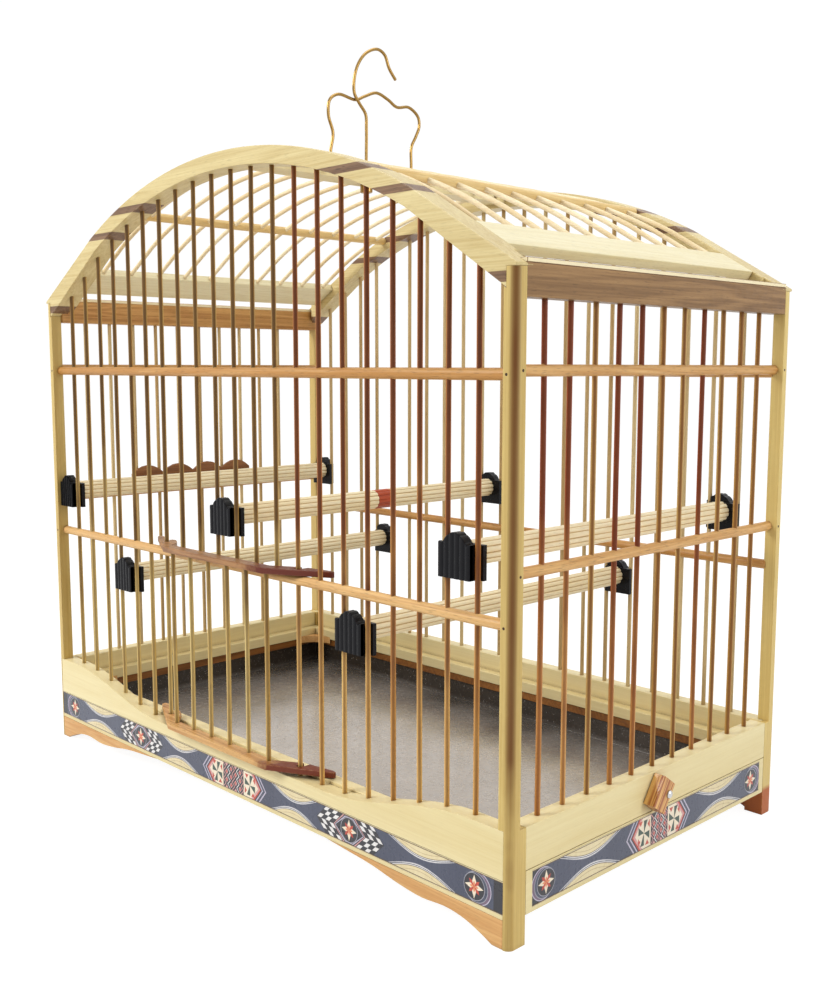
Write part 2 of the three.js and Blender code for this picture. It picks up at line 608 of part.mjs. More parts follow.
// A clip between two rods: one lip in front of the left rod, one behind the right rod, and a humped top.
function makeClip(leftRod, rightRod, leftWall) {
  const gap = ROD_RADIUS + SEAT_GAP;
  const lip = gap + CLIP_LIP;
  const from = leftWall ?? leftRod + gap;
  const to = rightRod - gap;
  const tip = rightRod + CLIP_REACH;
  const plan = [[to, -lip], [to, gap], [tip, gap], [tip, lip], [from, lip]];
  if (leftWall === undefined) {
    plan.push([from, -gap], [leftRod - CLIP_REACH, -gap], [leftRod - CLIP_REACH, -lip]);
  } else {
    plan.push([from, -lip]);
  }
  const middle = (from + to) / 2;
  const half = (to - from) / 2 - 1;
  const hump = outline([
    [middle - half, 0],
    [middle + half, 0],
    [middle + half, CLIP_SHOULDER + 1],
    [middle + half / 2, CLIP_UP - 1],
    [middle, CLIP_UP],
    [middle - half / 2, CLIP_UP - 1],
    [middle - half, CLIP_SHOULDER + 1],
  ]);
  return join([alongZ(outline(plan), [-CLIP_DOWN, CLIP_SHOULDER]), alongY(hump, [-gap, gap])]);
}

const CLIP_BACK = ROD_RADIUS + SEAT_GAP + CLIP_LIP;

// Each perch stands between two neighbouring front rods, given by the left one's number.
const PERCHES = [
  { name: 'perch_1', rod: -1, height: PERCH_HIGH },
  { name: 'perch_2', rod: 9, height: PERCH_HIGH },
  { name: 'perch_3', rod: 3, height: PERCH_LOW },
  { name: 'perch_4', rod: 19, height: PERCH_HIGH },
  { name: 'perch_5', rod: 15, height: PERCH_LOW },
];

function addPerches() {
  PERCHES.forEach(({ name, rod, height }) => {
    const byPost = rod < 0;
    const leftRod = byPost ? -POST_IN_X : rodX(rod);
    const rightRod = rodX(rod + 1);
    const set = group();
    set.position.set(0, 0, height);
    const perch = piece(set, name, makePerch(ROD_Y - CLIP_BACK), paleWood);
    perch.position.x = (leftRod + rightRod) / 2;
    const clip = () => makeClip(leftRod, rightRod, byPost ? -POST_IN_X + SEAT_GAP : undefined);
    const front = piece(set, `${name}_front_clip`, clip(), blackPlastic);
    front.position.y = -ROD_Y;
    const backClip = geometryOf(solid(clip()).mirror([0, 1, 0]));
    const back = piece(set, `${name}_back_clip`, backClip, blackPlastic);
    back.position.y = ROD_Y;
  });
}

// A thin strip with a scalloped top edge, inside the left wall on its middle rail.
function addScallopedStrip() {
  const bottom = SIDE_RAIL_HEIGHTS[0] + RAIL_RADIUS + SEAT_GAP;
  const shape = new THREE.Shape();
  shape.moveTo(SCALLOP_FROM, bottom);
  shape.lineTo(SCALLOP_FROM + SCALLOP_HUMPS * SCALLOP_PITCH, bottom);
  for (let hump = SCALLOP_HUMPS; hump > 0; hump--) {
    const y = SCALLOP_FROM + hump * SCALLOP_PITCH;
    const crestY = y - SCALLOP_PITCH / 2;
    shape.lineTo(y, SCALLOP_VALLEY);
    shape.quadraticCurveTo(crestY, 2 * SCALLOP_CREST - SCALLOP_VALLEY, y - SCALLOP_PITCH, SCALLOP_VALLEY);
  }
  const x = -ROD_X + ROD_RADIUS + SEAT_GAP;
  piece(group(), 'scalloped_strip', alongX(shape, [x, x + SCALLOP_THICK], 6), doorWood);
}

// --- door: two bowed strips and six rods, hung on a front rod ---

// The strips are drawn around the hinge rod's axis. Their flat front sweeps back at both ends.
function stripShape() {
  const along = [-Math.cos(DOOR_ARM_SLOPE), Math.sin(DOOR_ARM_SLOPE)];
  const across = [Math.sin(DOOR_ARM_SLOPE), Math.cos(DOOR_ARM_SLOPE)];
  const at = (a, n) => [a * along[0] + n * across[0], a * along[1] + n * across[1]];
  const face = -HINGE_HOLE - HINGE_WALL;
  const faceCornerAlong = (-DOOR_DEEP - face * across[1]) / along[1];
  const notchU = rodX(DOOR_NOTCH_ROD) - hingeX;
  const catchU = catchX - hingeX;
  const turnU = notchU - 16;
  const slotEdge = -0.2;
  const hingeArc = [];
  const arcSteps = 9;
  const slotAngle = Math.asin(slotEdge / HINGE_HOLE);
  for (let i = 0; i <= arcSteps; i++) {
    const angle = slotAngle - (slotAngle + 1.5 * Math.PI) * i / arcSteps;
    hingeArc.push(at(HINGE_HOLE * Math.cos(angle), HINGE_HOLE * Math.sin(angle)));
  }
  return [
    at(faceCornerAlong, face),
    [turnU, -DOOR_DEEP],
    [catchU + 2.5, 6],
    [catchU + 2.8, 8],
    [catchU, 8.6],
    [notchU + HINGE_HOLE, 5.6],
    [notchU + HINGE_HOLE, -HINGE_HOLE],
    [notchU - HINGE_HOLE, -HINGE_HOLE],
    [notchU - HINGE_HOLE, 4.4],
    [notchU - 9, 0.5],
    [notchU - 19, -STRIP_BACK],
    at(-HINGE_HEEL, 1.6),
    at(-9, 4.6),
    at(-2, 6.4),
    at(4.5, 6.2),
    at(7, 4),
    at(5.6, HINGE_HOLE),
    ...hingeArc.reverse(),
    at(HINGE_PRONG - 1, slotEdge + 0.4),
    at(HINGE_PRONG + 1.5, -1.6),
    at(HINGE_PRONG, face),
  ];
}

function addDoor() {
  const door = group();
  door.position.set(hingeX, -ROD_Y, 0);
  const topStrip = FRONT_RAIL_HEIGHTS[0] + RAIL_RADIUS + DOOR_TOP_GAP;
  const strip = (z) => alongZ(outline(stripShape()), [z, z + STRIP_THICK]);
  const rods = [];
  for (let index = DOOR_PIVOT_ROD + 1; index < DOOR_NOTCH_ROD; index++) {
    const x = rodX(index) - hingeX;
    rods.push(uprightRod(x, -DOOR_ROD_FORWARD, [DOOR_BOTTOM + STRIP_THICK / 2, topStrip]));
  }
  piece(door, 'door_top_strip', strip(topStrip), doorWood);
  piece(door, 'door_bottom_strip', join([strip(DOOR_BOTTOM), ...rods]), doorWood);
}

// --- tray: a sheet-metal pan behind a wooden front ---

function addTray() {
  const tray = group();
  const panX = [-INNER_X + PAN_END_GAP, INNER_X];
  const panY = INNER_Y - PAN_SIDE_GAP;
  const panBottom = RUNNER_TOP + SLIDE_GAP;
  const shell = box(panX, [-panY, panY], [panBottom, PAN_TOP]);
  const hollow = box(
    [panX[0] + PAN_SHEET, panX[1] - PAN_SHEET],
    [-panY + PAN_SHEET, panY - PAN_SHEET],
    [panBottom + PAN_SHEET, PAN_TOP + 1],
  );
  piece(tray, 'tray_pan', cut(shell, [hollow]), trayMetal);

  const frontY = POST_IN_Y - SLIDE_GAP;
  const inlayY = frontY - TRAY_INLAY_BORDER;
  const board = box([INNER_X, HALF_X], [-frontY, frontY], [BASE_BOTTOM, TRAY_SEAM - SLIDE_GAP]);
  const inlaySize = [INLAY_BOTTOM, TRAY_INLAY_TOP];
  const groove = box([HALF_X - INLAY_THICK, HALF_X + 1], [-inlayY, inlayY], inlaySize);
  piece(tray, 'tray_front', cut(board, [groove]), paleWood);
  piece(tray, 'tray_inlay', box([HALF_X - INLAY_THICK, HALF_X], [-inlayY, inlayY], inlaySize), inlayWood);
}

// --- turn button over the tray's seam, on its nail ---

function addTurnButton() {
  const tilt = [Math.cos(TOGGLE_TILT), Math.sin(TOGGLE_TILT)];
  const nailY = TOGGLE_Y + NAIL_ALONG * tilt[0] + NAIL_ACROSS * tilt[1];
  const nailZ = TOGGLE_Z + NAIL_ALONG * tilt[1] - NAIL_ACROSS * tilt[0];
  const set = group();
  set.position.set(HALF_X, nailY, nailZ);

  const [long, wide] = [TOGGLE_LONG / 2, TOGGLE_WIDE / 2];
  const blockShape = new THREE.Shape();
  blockShape.moveTo(-long - NAIL_ALONG, -wide + NAIL_ACROSS);
  blockShape.lineTo(long - NAIL_ALONG, -wide + NAIL_ACROSS);
  blockShape.lineTo(long - NAIL_ALONG, wide + NAIL_ACROSS);
  blockShape.lineTo(-long - NAIL_ALONG, wide + NAIL_ACROSS);
  const hole = new THREE.Path();
  hole.absarc(0, 0, NAIL_RADIUS + SEAT_GAP, 0, 2 * Math.PI, true);
  blockShape.holes.push(hole);
  const block = alongX(blockShape, [SEAT_GAP, SEAT_GAP + TOGGLE_THICK], 4);
  const button = piece(set, 'turn_button', block, railWood);
  button.rotation.x = TOGGLE_TILT;

  const headFrom = TOGGLE_THICK + 2 * SEAT_GAP;
  const profile = [[0, 0], [NAIL_RADIUS, 0], [NAIL_RADIUS, headFrom], [NAIL_HEAD, headFrom],
    [0.8 * NAIL_HEAD, headFrom + 0.8], [0, headFrom + 1.3]];
  const nail = new THREE.LatheGeometry(profile.map(([r, x]) => new THREE.Vector2(r, x)), 12);
  piece(set, 'turn_button_nail', nail.rotateZ(-Math.PI / 2), steel);
}

addPosts();
addBottomFrame();
addFeet();
addWalls();
addRoof();
addPerches();
addScallopedStrip();
addDoor();
addTray();
addTurnButton();

export default object;
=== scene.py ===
"""A wooden canary breeding cage: its looks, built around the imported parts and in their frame."""
import math
import random

import bmesh
import bpy
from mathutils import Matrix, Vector


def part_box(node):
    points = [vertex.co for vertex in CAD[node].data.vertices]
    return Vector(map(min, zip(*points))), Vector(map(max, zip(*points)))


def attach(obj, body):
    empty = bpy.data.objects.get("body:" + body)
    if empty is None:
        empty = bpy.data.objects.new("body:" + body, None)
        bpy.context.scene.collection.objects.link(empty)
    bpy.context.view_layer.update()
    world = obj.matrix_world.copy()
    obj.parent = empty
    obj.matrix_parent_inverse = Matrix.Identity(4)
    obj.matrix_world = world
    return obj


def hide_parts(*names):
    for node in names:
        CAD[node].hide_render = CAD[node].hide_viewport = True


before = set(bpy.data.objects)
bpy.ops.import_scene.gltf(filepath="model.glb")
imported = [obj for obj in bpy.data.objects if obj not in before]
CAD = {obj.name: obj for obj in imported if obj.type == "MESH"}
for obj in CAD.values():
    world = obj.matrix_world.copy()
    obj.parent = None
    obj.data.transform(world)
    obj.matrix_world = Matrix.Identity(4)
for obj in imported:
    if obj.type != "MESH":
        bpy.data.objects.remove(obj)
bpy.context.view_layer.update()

MM = 0.001
POSTS_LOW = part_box("post_front_left")[0]
POSTS_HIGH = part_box("post_back_right")[1]
CENTRE = Vector(((POSTS_LOW.x + POSTS_HIGH.x) / 2, (POSTS_LOW.y + POSTS_HIGH.y) / 2, 0))
chance = random.Random(7)


def at(x, y, z):
    """A point given in millimetres from the middle of the four posts, in the frame's metres."""
    return CENTRE + Vector((x, y, z)) * MM


def span(node):
    """A node's extent in millimetres: (x0, x1), (y0, y1), (z0, z1)."""
    low, high = ((corner - CENTRE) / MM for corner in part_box(node))
    return tuple((low[i], high[i]) for i in range(3))


# Sizes in millimetres. X and Y start in the middle of the posts and Z on the floor.
(POST_IN_X, HALF_X), (POST_IN_Y, HALF_Y), _ = span("post_back_right")
POST_SLIM = 7.5  # what a post is planed down to between the boards and the roof
ROD_THICK = 2.8
ROD_SIDES = 14
ROD_PITCH = 19.75
FRONT_RODS = 21
SIDE_RODS = 11
ROD_DEEP = 6  # how far the rods' axes lie behind the posts' outer faces
ROD_X, ROD_Y = HALF_X - ROD_DEEP, HALF_Y - ROD_DEEP
DOWEL_THICK = 5.8
DOWEL_SIDES = 20
FRONT_DOWELS = (157.5, 274.75)
SIDE_DOWELS = (181.75, 276.5)
SUNK = 1.0  # how deep a rod's end goes into the wood
SILL_LOW, SILL_HIGH = 42, 59.5
SILL_HALF, WAVE_END = 88, 197
ROOF_TOP = span("front_arch")[2][1]
ROOF_RADIUS = 345
ROOF_ARC = math.radians(27)
EAVE_TOP = 324.5
EAVE_FROM = 186
ARCH_DEEP = 10
ARCH_THICK = 15
ARCH_LAP = 6  # the arch ends stop this far short of the posts' outer faces
ROOF_RODS = 10
ROOF_ROD_PITCH = 22.5
ROOF_ROD_DEPTH = 2.75
PURLIN_X = 120
DOOR_RODS = range(7, 13)
DOOR_RODS_OUT = 8  # how far the door's rods stand in front of the wall's
CATCH_ROD = 14
RED_RODS_FROM = 13
BROWN_SIDE_RODS = (0, 1, 3, 4, 7)
PERCH_RADIUS = 6.45
PERCH_FLUTES = 12
FLUTE_DEEP = 0.75
PERCHES = {  # the left rod's number and the perch's height
    "perch_1": (-1, 188),
    "perch_2": (9, 188),
    "perch_3": (3, 136.5),
    "perch_4": (19, 188),
    "perch_5": (15, 136.5),
}
WIRE_THICK = 2.0
WIRE_SIDES = 12
EDGE = 0.45  # rounding of a sawn edge
POST_EDGE = 0.5
FOOT_EDGE = 0.6  # of the feet and the arches
CLIP_LOW, CLIP_SHOULDER, CLIP_CROWN = 12, 5, 10.9  # from the perch's middle down, up and up


def rod_x(index):
    """Where a rod of the front or the back stands."""
    return ROD_PITCH * (index - (FRONT_RODS - 1) / 2)


def rectangle(x0, x1, y0, y1):
    """The corners of a rectangle, one after the other."""
    return [(x0, y0), (x1, y0), (x1, y1), (x0, y1)]


def turned(x, y, angle):
    """What places a point by its distance along and across a direction that starts at X and Y."""
    cosine, sine = math.cos(angle), math.sin(angle)
    return lambda along, across: (x + along * cosine - across * sine, y + along * sine + across * cosine)


def sill(x):
    """Height of the wavy front rail."""
    share = min(max((abs(x) - SILL_HALF) / (WAVE_END - SILL_HALF), 0), 1)
    return SILL_LOW + (SILL_HIGH - SILL_LOW) * share * share * (3 - 2 * share)


ARC_END = Vector((ROOF_RADIUS * math.sin(ROOF_ARC), ROOF_TOP - ROOF_RADIUS * (1 - math.cos(ROOF_ARC))))
SLOPE = math.atan2(ARC_END.y - EAVE_TOP, HALF_X - ARC_END.x)


def roof_point(along, depth):
    """X and Z of a point under the roof's surface, at a distance along it from the ridge."""
    angle = min(abs(along) / ROOF_RADIUS, ROOF_ARC)
    beyond = max(abs(along) - ROOF_RADIUS * ROOF_ARC, 0)
    lean = SLOPE if beyond > 0 else angle
    x = ROOF_RADIUS * math.sin(angle) + beyond * math.cos(SLOPE) - depth * math.sin(lean)
    drop = ROOF_RADIUS * (1 - math.cos(angle)) + beyond * math.sin(SLOPE) + depth * math.cos(lean)
    return math.copysign(x, along), ROOF_TOP - drop


def along_roof(x):
    """How far from the ridge a place near the eaves is, along the roof."""
    return ROOF_RADIUS * ROOF_ARC + (x - ARC_END.x) / math.cos(SLOPE)


def under_arch(x):
    """Height of the arch's underside."""
    inner = ROOF_RADIUS - ARCH_DEEP
    end_x = inner * math.sin(ROOF_ARC)
    if abs(x) <= end_x:
        return ROOF_TOP - ROOF_RADIUS + math.sqrt(inner * inner - x * x)
    end_z = ARC_END.y - ARCH_DEEP * math.cos(ROOF_ARC)
    tip_x, tip_z = HALF_X - ARCH_LAP, span("front_arch")[2][0]
    return end_z - (end_z - tip_z) * (abs(x) - end_x) / (tip_x - end_x)


# --- shaders ---------------------------------------------------------------------------------


def colour(red, green, blue):
    """A colour given as 0 to 255, as the linear one that a socket holds."""
    def linear(value):
        value /= 255
        return value / 12.92 if value <= 0.04045 else ((value + 0.055) / 1.055) ** 2.4
    return (linear(red), linear(green), linear(blue), 1.0)


class Recipe:
    """A node tree while it is written, for a material or for a group."""

    def __init__(self, tree):
        self.tree = tree

    def node(self, kind, inputs=None, **settings):
        made = self.tree.nodes.new(kind)
        for key, value in settings.items():
            setattr(made, key, value)
        for key, value in (inputs or {}).items():
            if isinstance(value, bpy.types.NodeSocket):
                self.tree.links.new(value, made.inputs[key])
            else:
                made.inputs[key].default_value = value
        return made

    def math(self, operation, a, b=0.0, c=0.0, clamp=False):
        made = self.node("ShaderNodeMath", {0: a, 1: b, 2: c}, operation=operation, use_clamp=clamp)
        return made.outputs[0]

    def times(self, a, b, clamp=False):
        return self.math("MULTIPLY", a, b, clamp=clamp)

    def plus(self, a, b):
        return self.math("ADD", a, b)

    def vector(self, operation, a, b=(0, 0, 0), output=0):
        return self.node("ShaderNodeVectorMath", {0: a, 1: b}, operation=operation).outputs[output]

    def scaled(self, vector, size):
        made = self.node("ShaderNodeVectorMath", {0: vector, "Scale": size}, operation="SCALE")
        return made.outputs[0]

    def mix(self, factor, a, b, blend="MIX"):
        made = self.node("ShaderNodeMix", {0: factor, 6: a, 7: b}, data_type="RGBA", blend_type=blend)
        return made.outputs[2]

    def spread(self, value, low, high, to_low=0.0, to_high=1.0):
        names = {"Value": value, 1: low, 2: high, 3: to_low, 4: to_high}
        return self.node("ShaderNodeMapRange", names).outputs[0]

    def noise(self, vector, scale, detail=2.0, roughness=0.5, distortion=0.0):
        names = {"Vector": vector, "Scale": scale, "Detail": detail, "Roughness": roughness,
                 "Distortion": distortion}
        return self.node("ShaderNodeTexNoise", names).outputs["Fac"]

    def group(self, tree, **inputs):
        named = {key.replace("_", " "): value for key, value in inputs.items()}
        return self.node("ShaderNodeGroup", named, node_tree=tree).outputs

    def millimetres(self):
        """The place on the piece, in millimetres."""
        place = self.node("ShaderNodeTexCoord").outputs["Object"]
        return self.scaled(place, 1 / MM)

    def level(self, axis=2):
        """The place on the piece along one axis, in millimetres."""
        return self.node("ShaderNodeSeparateXYZ", {0: self.millimetres()}).outputs[axis]

    def wander(self, size, detail, low, high):
        """A value that drifts between two limits over the piece."""
        return self.spread(self.noise(self.millimetres(), size, detail), 0.3, 0.7, low, high)


def shader_group(name, inputs, outputs):
    """A recipe for a group with named inputs, their first values, and named outputs."""
    tree = bpy.data.node_groups.new(name, "ShaderNodeTree")
    for label, kind, value in inputs:
        socket = tree.interface.new_socket(label, in_out="INPUT", socket_type="NodeSocket" + kind)
        socket.default_value = value
    for label, kind in outputs:
        tree.interface.new_socket(label, in_out="OUTPUT", socket_type="NodeSocket" + kind)
    recipe = Recipe(tree)
    recipe.given = recipe.node("NodeGroupInput").outputs
    recipe.result = recipe.node("NodeGroupOutput").inputs
    return recipe


def returned(recipe, **values):
    """Links what a group puts out, and gives the group."""
    for label, value in values.items():
        recipe.tree.links.new(value, recipe.result[label])
    return recipe.tree


def wood_figure_group():
    """Growth bands, fine streaks and short pores, drawn out along the grain."""
    recipe = shader_group(
        "wood_figure",
        [("Grain", "Vector", (1, 0, 0)), ("Light", "Color", (1, 1, 1, 1)),
         ("Dark", "Color", (0, 0, 0, 1)), ("Bands", "Float", 0.3), ("Streaks", "Float", 0.4),
         ("Tone", "Float", 0.3), ("Pores", "Float", 0.2)],
        [("Color", "Color"), ("Height", "Float")])
    given = recipe.given
    place = recipe.millimetres()
    along = recipe.vector("DOT_PRODUCT", place, given["Grain"], output=1)

    def drawn_out(kept):
        taken = recipe.times(along, 1 - kept)
        return recipe.vector("SUBTRACT", place, recipe.scaled(given["Grain"], taken))

    growth = recipe.noise(drawn_out(0.05), 0.085, 2, 0.5, 0.5)
    rings = recipe.math("MULTIPLY_ADD", recipe.math("SINE", recipe.times(growth, 46)), 0.5, 0.5)
    streaks = recipe.spread(recipe.noise(drawn_out(0.012), 1.1, 3, 0.65), 0.3, 0.7)
    pores = recipe.spread(recipe.noise(drawn_out(0.07), 2.4, 1), 0.6, 0.72)
    tone = recipe.spread(recipe.noise(drawn_out(0.02), 0.04, 1), 0.35, 0.65)
    figure = recipe.times(rings, given["Bands"])
    figure = recipe.math("MULTIPLY_ADD", streaks, given["Streaks"], figure)
    figure = recipe.math("MULTIPLY_ADD", tone, given["Tone"], figure, clamp=True)
    wood = recipe.mix(figure, given["Light"], given["Dark"])
    pitted = recipe.times(pores, given["Pores"])
    wood = recipe.mix(pitted, wood, recipe.mix(0.75, wood, (0.02, 0.01, 0.005, 1)))
    height = recipe.math("SUBTRACT", recipe.times(streaks, 0.6), pitted)
    return returned(recipe, Color=wood, Height=height)


def shade_and_wear_group():
    """Painted shade and grime in the corners, rubbed edges, uneven gloss and a fine relief, over any
    finish.
    """
    recipe = shader_group(
        "shade_and_wear_surface",
        [("Color", "Color", (1, 1, 1, 1)), ("Height", "Float", 0), ("Relief", "Float", 0.2),
         ("Dirt", "Color", (0.05, 0.03, 0.01, 1)), ("Dirt Amount", "Float", 0.5),
         ("Rubbed", "Color", (1, 1, 1, 1)), ("Rubbed Amount", "Float", 0.3), ("Gloss", "Float", 0.4)],
        [("Color", "Color"), ("Roughness", "Float"), ("Normal", "Vector")])
    given = recipe.given
    place = recipe.millimetres()
    # Ambient occlusion darkens corners, seams and the places between parts: painted shade, mottled by a
    # cloud so that it also stands for grime.
    corner = recipe.node("ShaderNodeAmbientOcclusion", {"Distance": 6 * MM}, samples=4).outputs["AO"]
    cloud = recipe.noise(place, 0.12, 3, 0.6)
    shade_and_grime = recipe.spread(corner, 0.75, 0.25)
    shade_and_grime = recipe.times(shade_and_grime, recipe.spread(cloud, 0.2, 0.6, 0.5, 1))
    shade_and_grime = recipe.times(shade_and_grime, given["Dirt Amount"], clamp=True)
    soft = recipe.node("ShaderNodeBevel", {"Radius": 0.9 * MM}, samples=4).outputs[0]
    flat = recipe.node("ShaderNodeNewGeometry").outputs["Normal"]
    edge = recipe.spread(recipe.vector("DOT_PRODUCT", soft, flat, output=1), 0.99, 0.86)
    worn = recipe.times(edge, recipe.spread(recipe.noise(place, 0.35, 2), 0.4, 0.6))
    worn = recipe.times(worn, given["Rubbed Amount"], clamp=True)
    shown = recipe.mix(worn, given["Color"], given["Rubbed"])
    shown = recipe.mix(shade_and_grime, shown, given["Dirt"])
    uneven = recipe.spread(recipe.noise(place, 0.25, 3, 0.6), 0.3, 0.7, -0.08, 0.08)
    rough = recipe.plus(given["Gloss"], uneven)
    rough = recipe.plus(rough, recipe.times(shade_and_grime, 0.3))
    fine = recipe.math("MULTIPLY_ADD", recipe.noise(place, 1.6, 2), 0.3, given["Height"])
    relief = {"Strength": given["Relief"], "Distance": 0.3 * MM, "Height": fine}
    normal = recipe.node("ShaderNodeBump", relief).outputs[0]
    return returned(recipe, Color=shown, Roughness=rough, Normal=normal)


def speckle_group():
    """Grains and cloudy patches of a zinc-coated sheet."""
    recipe = shader_group(
        "zinc_speckle",
        [("Ground", "Color", (0.2, 0.2, 0.2, 1)), ("Grains", "Color", (0.5, 0.5, 0.5, 1))],
        [("Color", "Color")])
    given = recipe.given
    place = recipe.millimetres()
    grains = recipe.spread(recipe.noise(place, 2.6, 2, 0.7), 0.6, 0.75)
    patches = recipe.spread(recipe.noise(place, 0.035, 3, 0.6, 0.4), 0.35, 0.65)
    darker = recipe.mix(0.08, given["Ground"], (0, 0, 0, 1))
    ground = recipe.mix(patches, given["Ground"], darker)
    share = recipe.times(grains, recipe.math("MULTIPLY_ADD", patches, -0.15, 0.3))
    return returned(recipe, Color=recipe.mix(share, ground, given["Grains"]))


WOOD_FIGURE = wood_figure_group()
SHADE_AND_WEAR = shade_and_wear_group()
SPECKLE = speckle_group()
ALONG_X, ALONG_Y, ALONG_Z = (1, 0, 0), (0, 1, 0), (0, 0, 1)


def new_material(name):
    """A material, the recipe for its nodes, and its shader."""
    material = bpy.data.materials.new(name)
    material.use_nodes = True
    recipe = Recipe(material.node_tree)
    return material, recipe, material.node_tree.nodes["Principled BSDF"]


def dress(recipe, shader, finish, **constants):
    """Links the finish to the shader and sets what is the same all over on the shader itself."""
    recipe.tree.links.new(finish["Color"], shader.inputs["Base Color"])
    recipe.tree.links.new(finish["Roughness"], shader.inputs["Roughness"])
    recipe.tree.links.new(finish["Normal"], shader.inputs["Normal"])
    for name, value in constants.items():
        shader.inputs[name.replace("_", " ")].default_value = value


def wood(name, light, dark, grain, bands=0.3, streaks=0.4, tone=0.3, pores=0.2, gloss=0.42, varnish=0.1,
         relief=0.25, shade_and_grime=(86, 52, 20), shade_and_grime_amount=0.55, rubbed=0.25, over=None):
    """A thinly varnished wood. What is given as over goes on top of its figure."""
    material, recipe, shader = new_material(name)
    figure = recipe.group(WOOD_FIGURE, Grain=grain, Light=colour(*light), Dark=colour(*dark), Bands=bands,
                          Streaks=streaks, Tone=tone, Pores=pores)
    shown = over(recipe, figure["Color"]) if over else figure["Color"]
    bright = colour(*[min(255, value + 22) for value in light])
    # The finish adds painted shade and grime in the corners, rubbed edges and uneven gloss.
    finish = recipe.group(SHADE_AND_WEAR, Color=shown, Height=figure["Height"], Relief=relief, Dirt=colour(*shade_and_grime),
                          Dirt_Amount=shade_and_grime_amount, Rubbed=bright, Rubbed_Amount=rubbed, Gloss=gloss)
    dress(recipe, shader, finish, Coat_Weight=varnish, Coat_Roughness=0.18, Specular_IOR_Level=0.25)
    return material


def metal(name, shade, bright, gloss):
    """A bare metal with fine bright grains."""
    material, recipe, shader = new_material(name)
    sheet = recipe.group(SPECKLE, Ground=colour(*shade), Grains=colour(*bright))
    finish = recipe.group(SHADE_AND_WEAR, Color=sheet["Color"], Relief=0.03, Dirt=colour(60, 48, 34),
                          Dirt_Amount=0.3, Rubbed=colour(*bright), Rubbed_Amount=0.0, Gloss=gloss)
    dress(recipe, shader, finish, Metallic=1.0)
    return material


def pan_sheet(name, shade, bright, painted_shade):
    """The tray's zinc-coated sheet: glossy and a little speckled, with painted shade to the left and the
    back and along the top of its sides, and painted glints in that shade.
    """
    material, recipe, shader = new_material(name)
    sheet = recipe.group(SPECKLE, Ground=colour(*shade), Grains=colour(*bright))
    cloud = recipe.wander(0.012, 3, -30, 30)
    # Painted shade: darker towards the left and the back walls, to a wavering edge.
    leftwards = recipe.spread(recipe.plus(recipe.level(0), cloud), -90, -215)
    backwards = recipe.spread(recipe.plus(recipe.level(1), cloud), 40, 125)
    shade_share = recipe.math("MAXIMUM", leftwards, backwards)
    shown = recipe.mix(recipe.times(shade_share, 0.85), sheet["Color"], colour(*painted_shade))
    # Painted shade along the top of the sheet's sides, under the ledges.
    side = recipe.spread(recipe.level(), 19.5, 22.5)
    shown = recipe.mix(recipe.times(side, 0.9), shown, colour(*painted_shade))
    # Painted glints: bright specks only where the painted shade lies.
    painted_glints = recipe.spread(recipe.noise(recipe.millimetres(), 0.9, 1), 0.72, 0.76)
    shown = recipe.mix(recipe.times(painted_glints, shade_share), shown, colour(*bright))
    finish = recipe.group(SHADE_AND_WEAR, Color=shown, Relief=0.02, Dirt=colour(34, 28, 22), Dirt_Amount=0.6,
                          Rubbed=colour(*bright), Rubbed_Amount=0.1, Gloss=0.24)
    dress(recipe, shader, finish, Metallic=0.3)
    return material


def plastic(name, shade, scuffed):
    """A moulded plastic with paler scuffs."""
    material, recipe, shader = new_material(name)
    scuffs = recipe.spread(recipe.noise(recipe.millimetres(), 0.5, 4, 0.7, 1.5), 0.52, 0.75)
    shown = recipe.mix(recipe.times(scuffs, 0.35), colour(*shade), colour(*scuffed))
    finish = recipe.group(SHADE_AND_WEAR, Color=shown, Height=scuffs, Relief=0.15, Dirt=colour(70, 66, 62),
                          Dirt_Amount=0.15, Rubbed=colour(*scuffed), Rubbed_Amount=0.5, Gloss=0.3)
    dress(recipe, shader, finish, Specular_IOR_Level=0.16)
    return material


def in_layers(heights, light, dark):
    """Dark wood between two heights of the glued-up arch, in millimetres from the floor."""
    def over(recipe, shown):
        place = recipe.level()
        figure = recipe.group(WOOD_FIGURE, Grain=ALONG_X, Light=colour(*light), Dark=colour(*dark),
                              Bands=0.3, Streaks=0.5, Tone=0.2, Pores=0.9)
        for low, high in heights:
            centre, half = (low + high) / 2, (high - low) / 2
            away = recipe.math("ABSOLUTE", recipe.math("SUBTRACT", place, centre))
            shown = recipe.mix(recipe.spread(away, half + 0.1, half - 0.1), shown, figure["Color"])
        return shown
    return over


def stained_end(middle, fades, shade):
    """A dark stain at the right end of a door strip, in millimetres from the middle of the door."""
    def over(recipe, shown):
        away = recipe.math("SUBTRACT", recipe.level(0), middle)
        away = recipe.plus(away, recipe.wander(0.15, 3, -6, 6))
        return recipe.mix(recipe.spread(away, *fades), shown, colour(*shade))
    return over


def stained_bottom(shade, height):
    """A stain up to a height over the floor, in millimetres."""
    def over(recipe, shown):
        return recipe.mix(recipe.spread(recipe.level(), height + 1.5, height - 1.5), shown, colour(*shade))
    return over


def shaded_top(tint, side):
    """Painted shade: browner over the middle rail, and a darker side that is palest at the foot."""
    def over(recipe, shown):
        place = recipe.plus(recipe.level(), recipe.wander(0.02, 2, -40, 40))
        high = recipe.spread(place, 110, 200)
        tinted = recipe.mix(1.0, shown, colour(*tint), blend="MULTIPLY")
        sided = side_shade_and_stain(side, 0.3, 0.85)(recipe, tinted)
        return recipe.mix(high, side_shade_and_stain(side, 0.6, 1.2)(recipe, shown), sided)
    return over


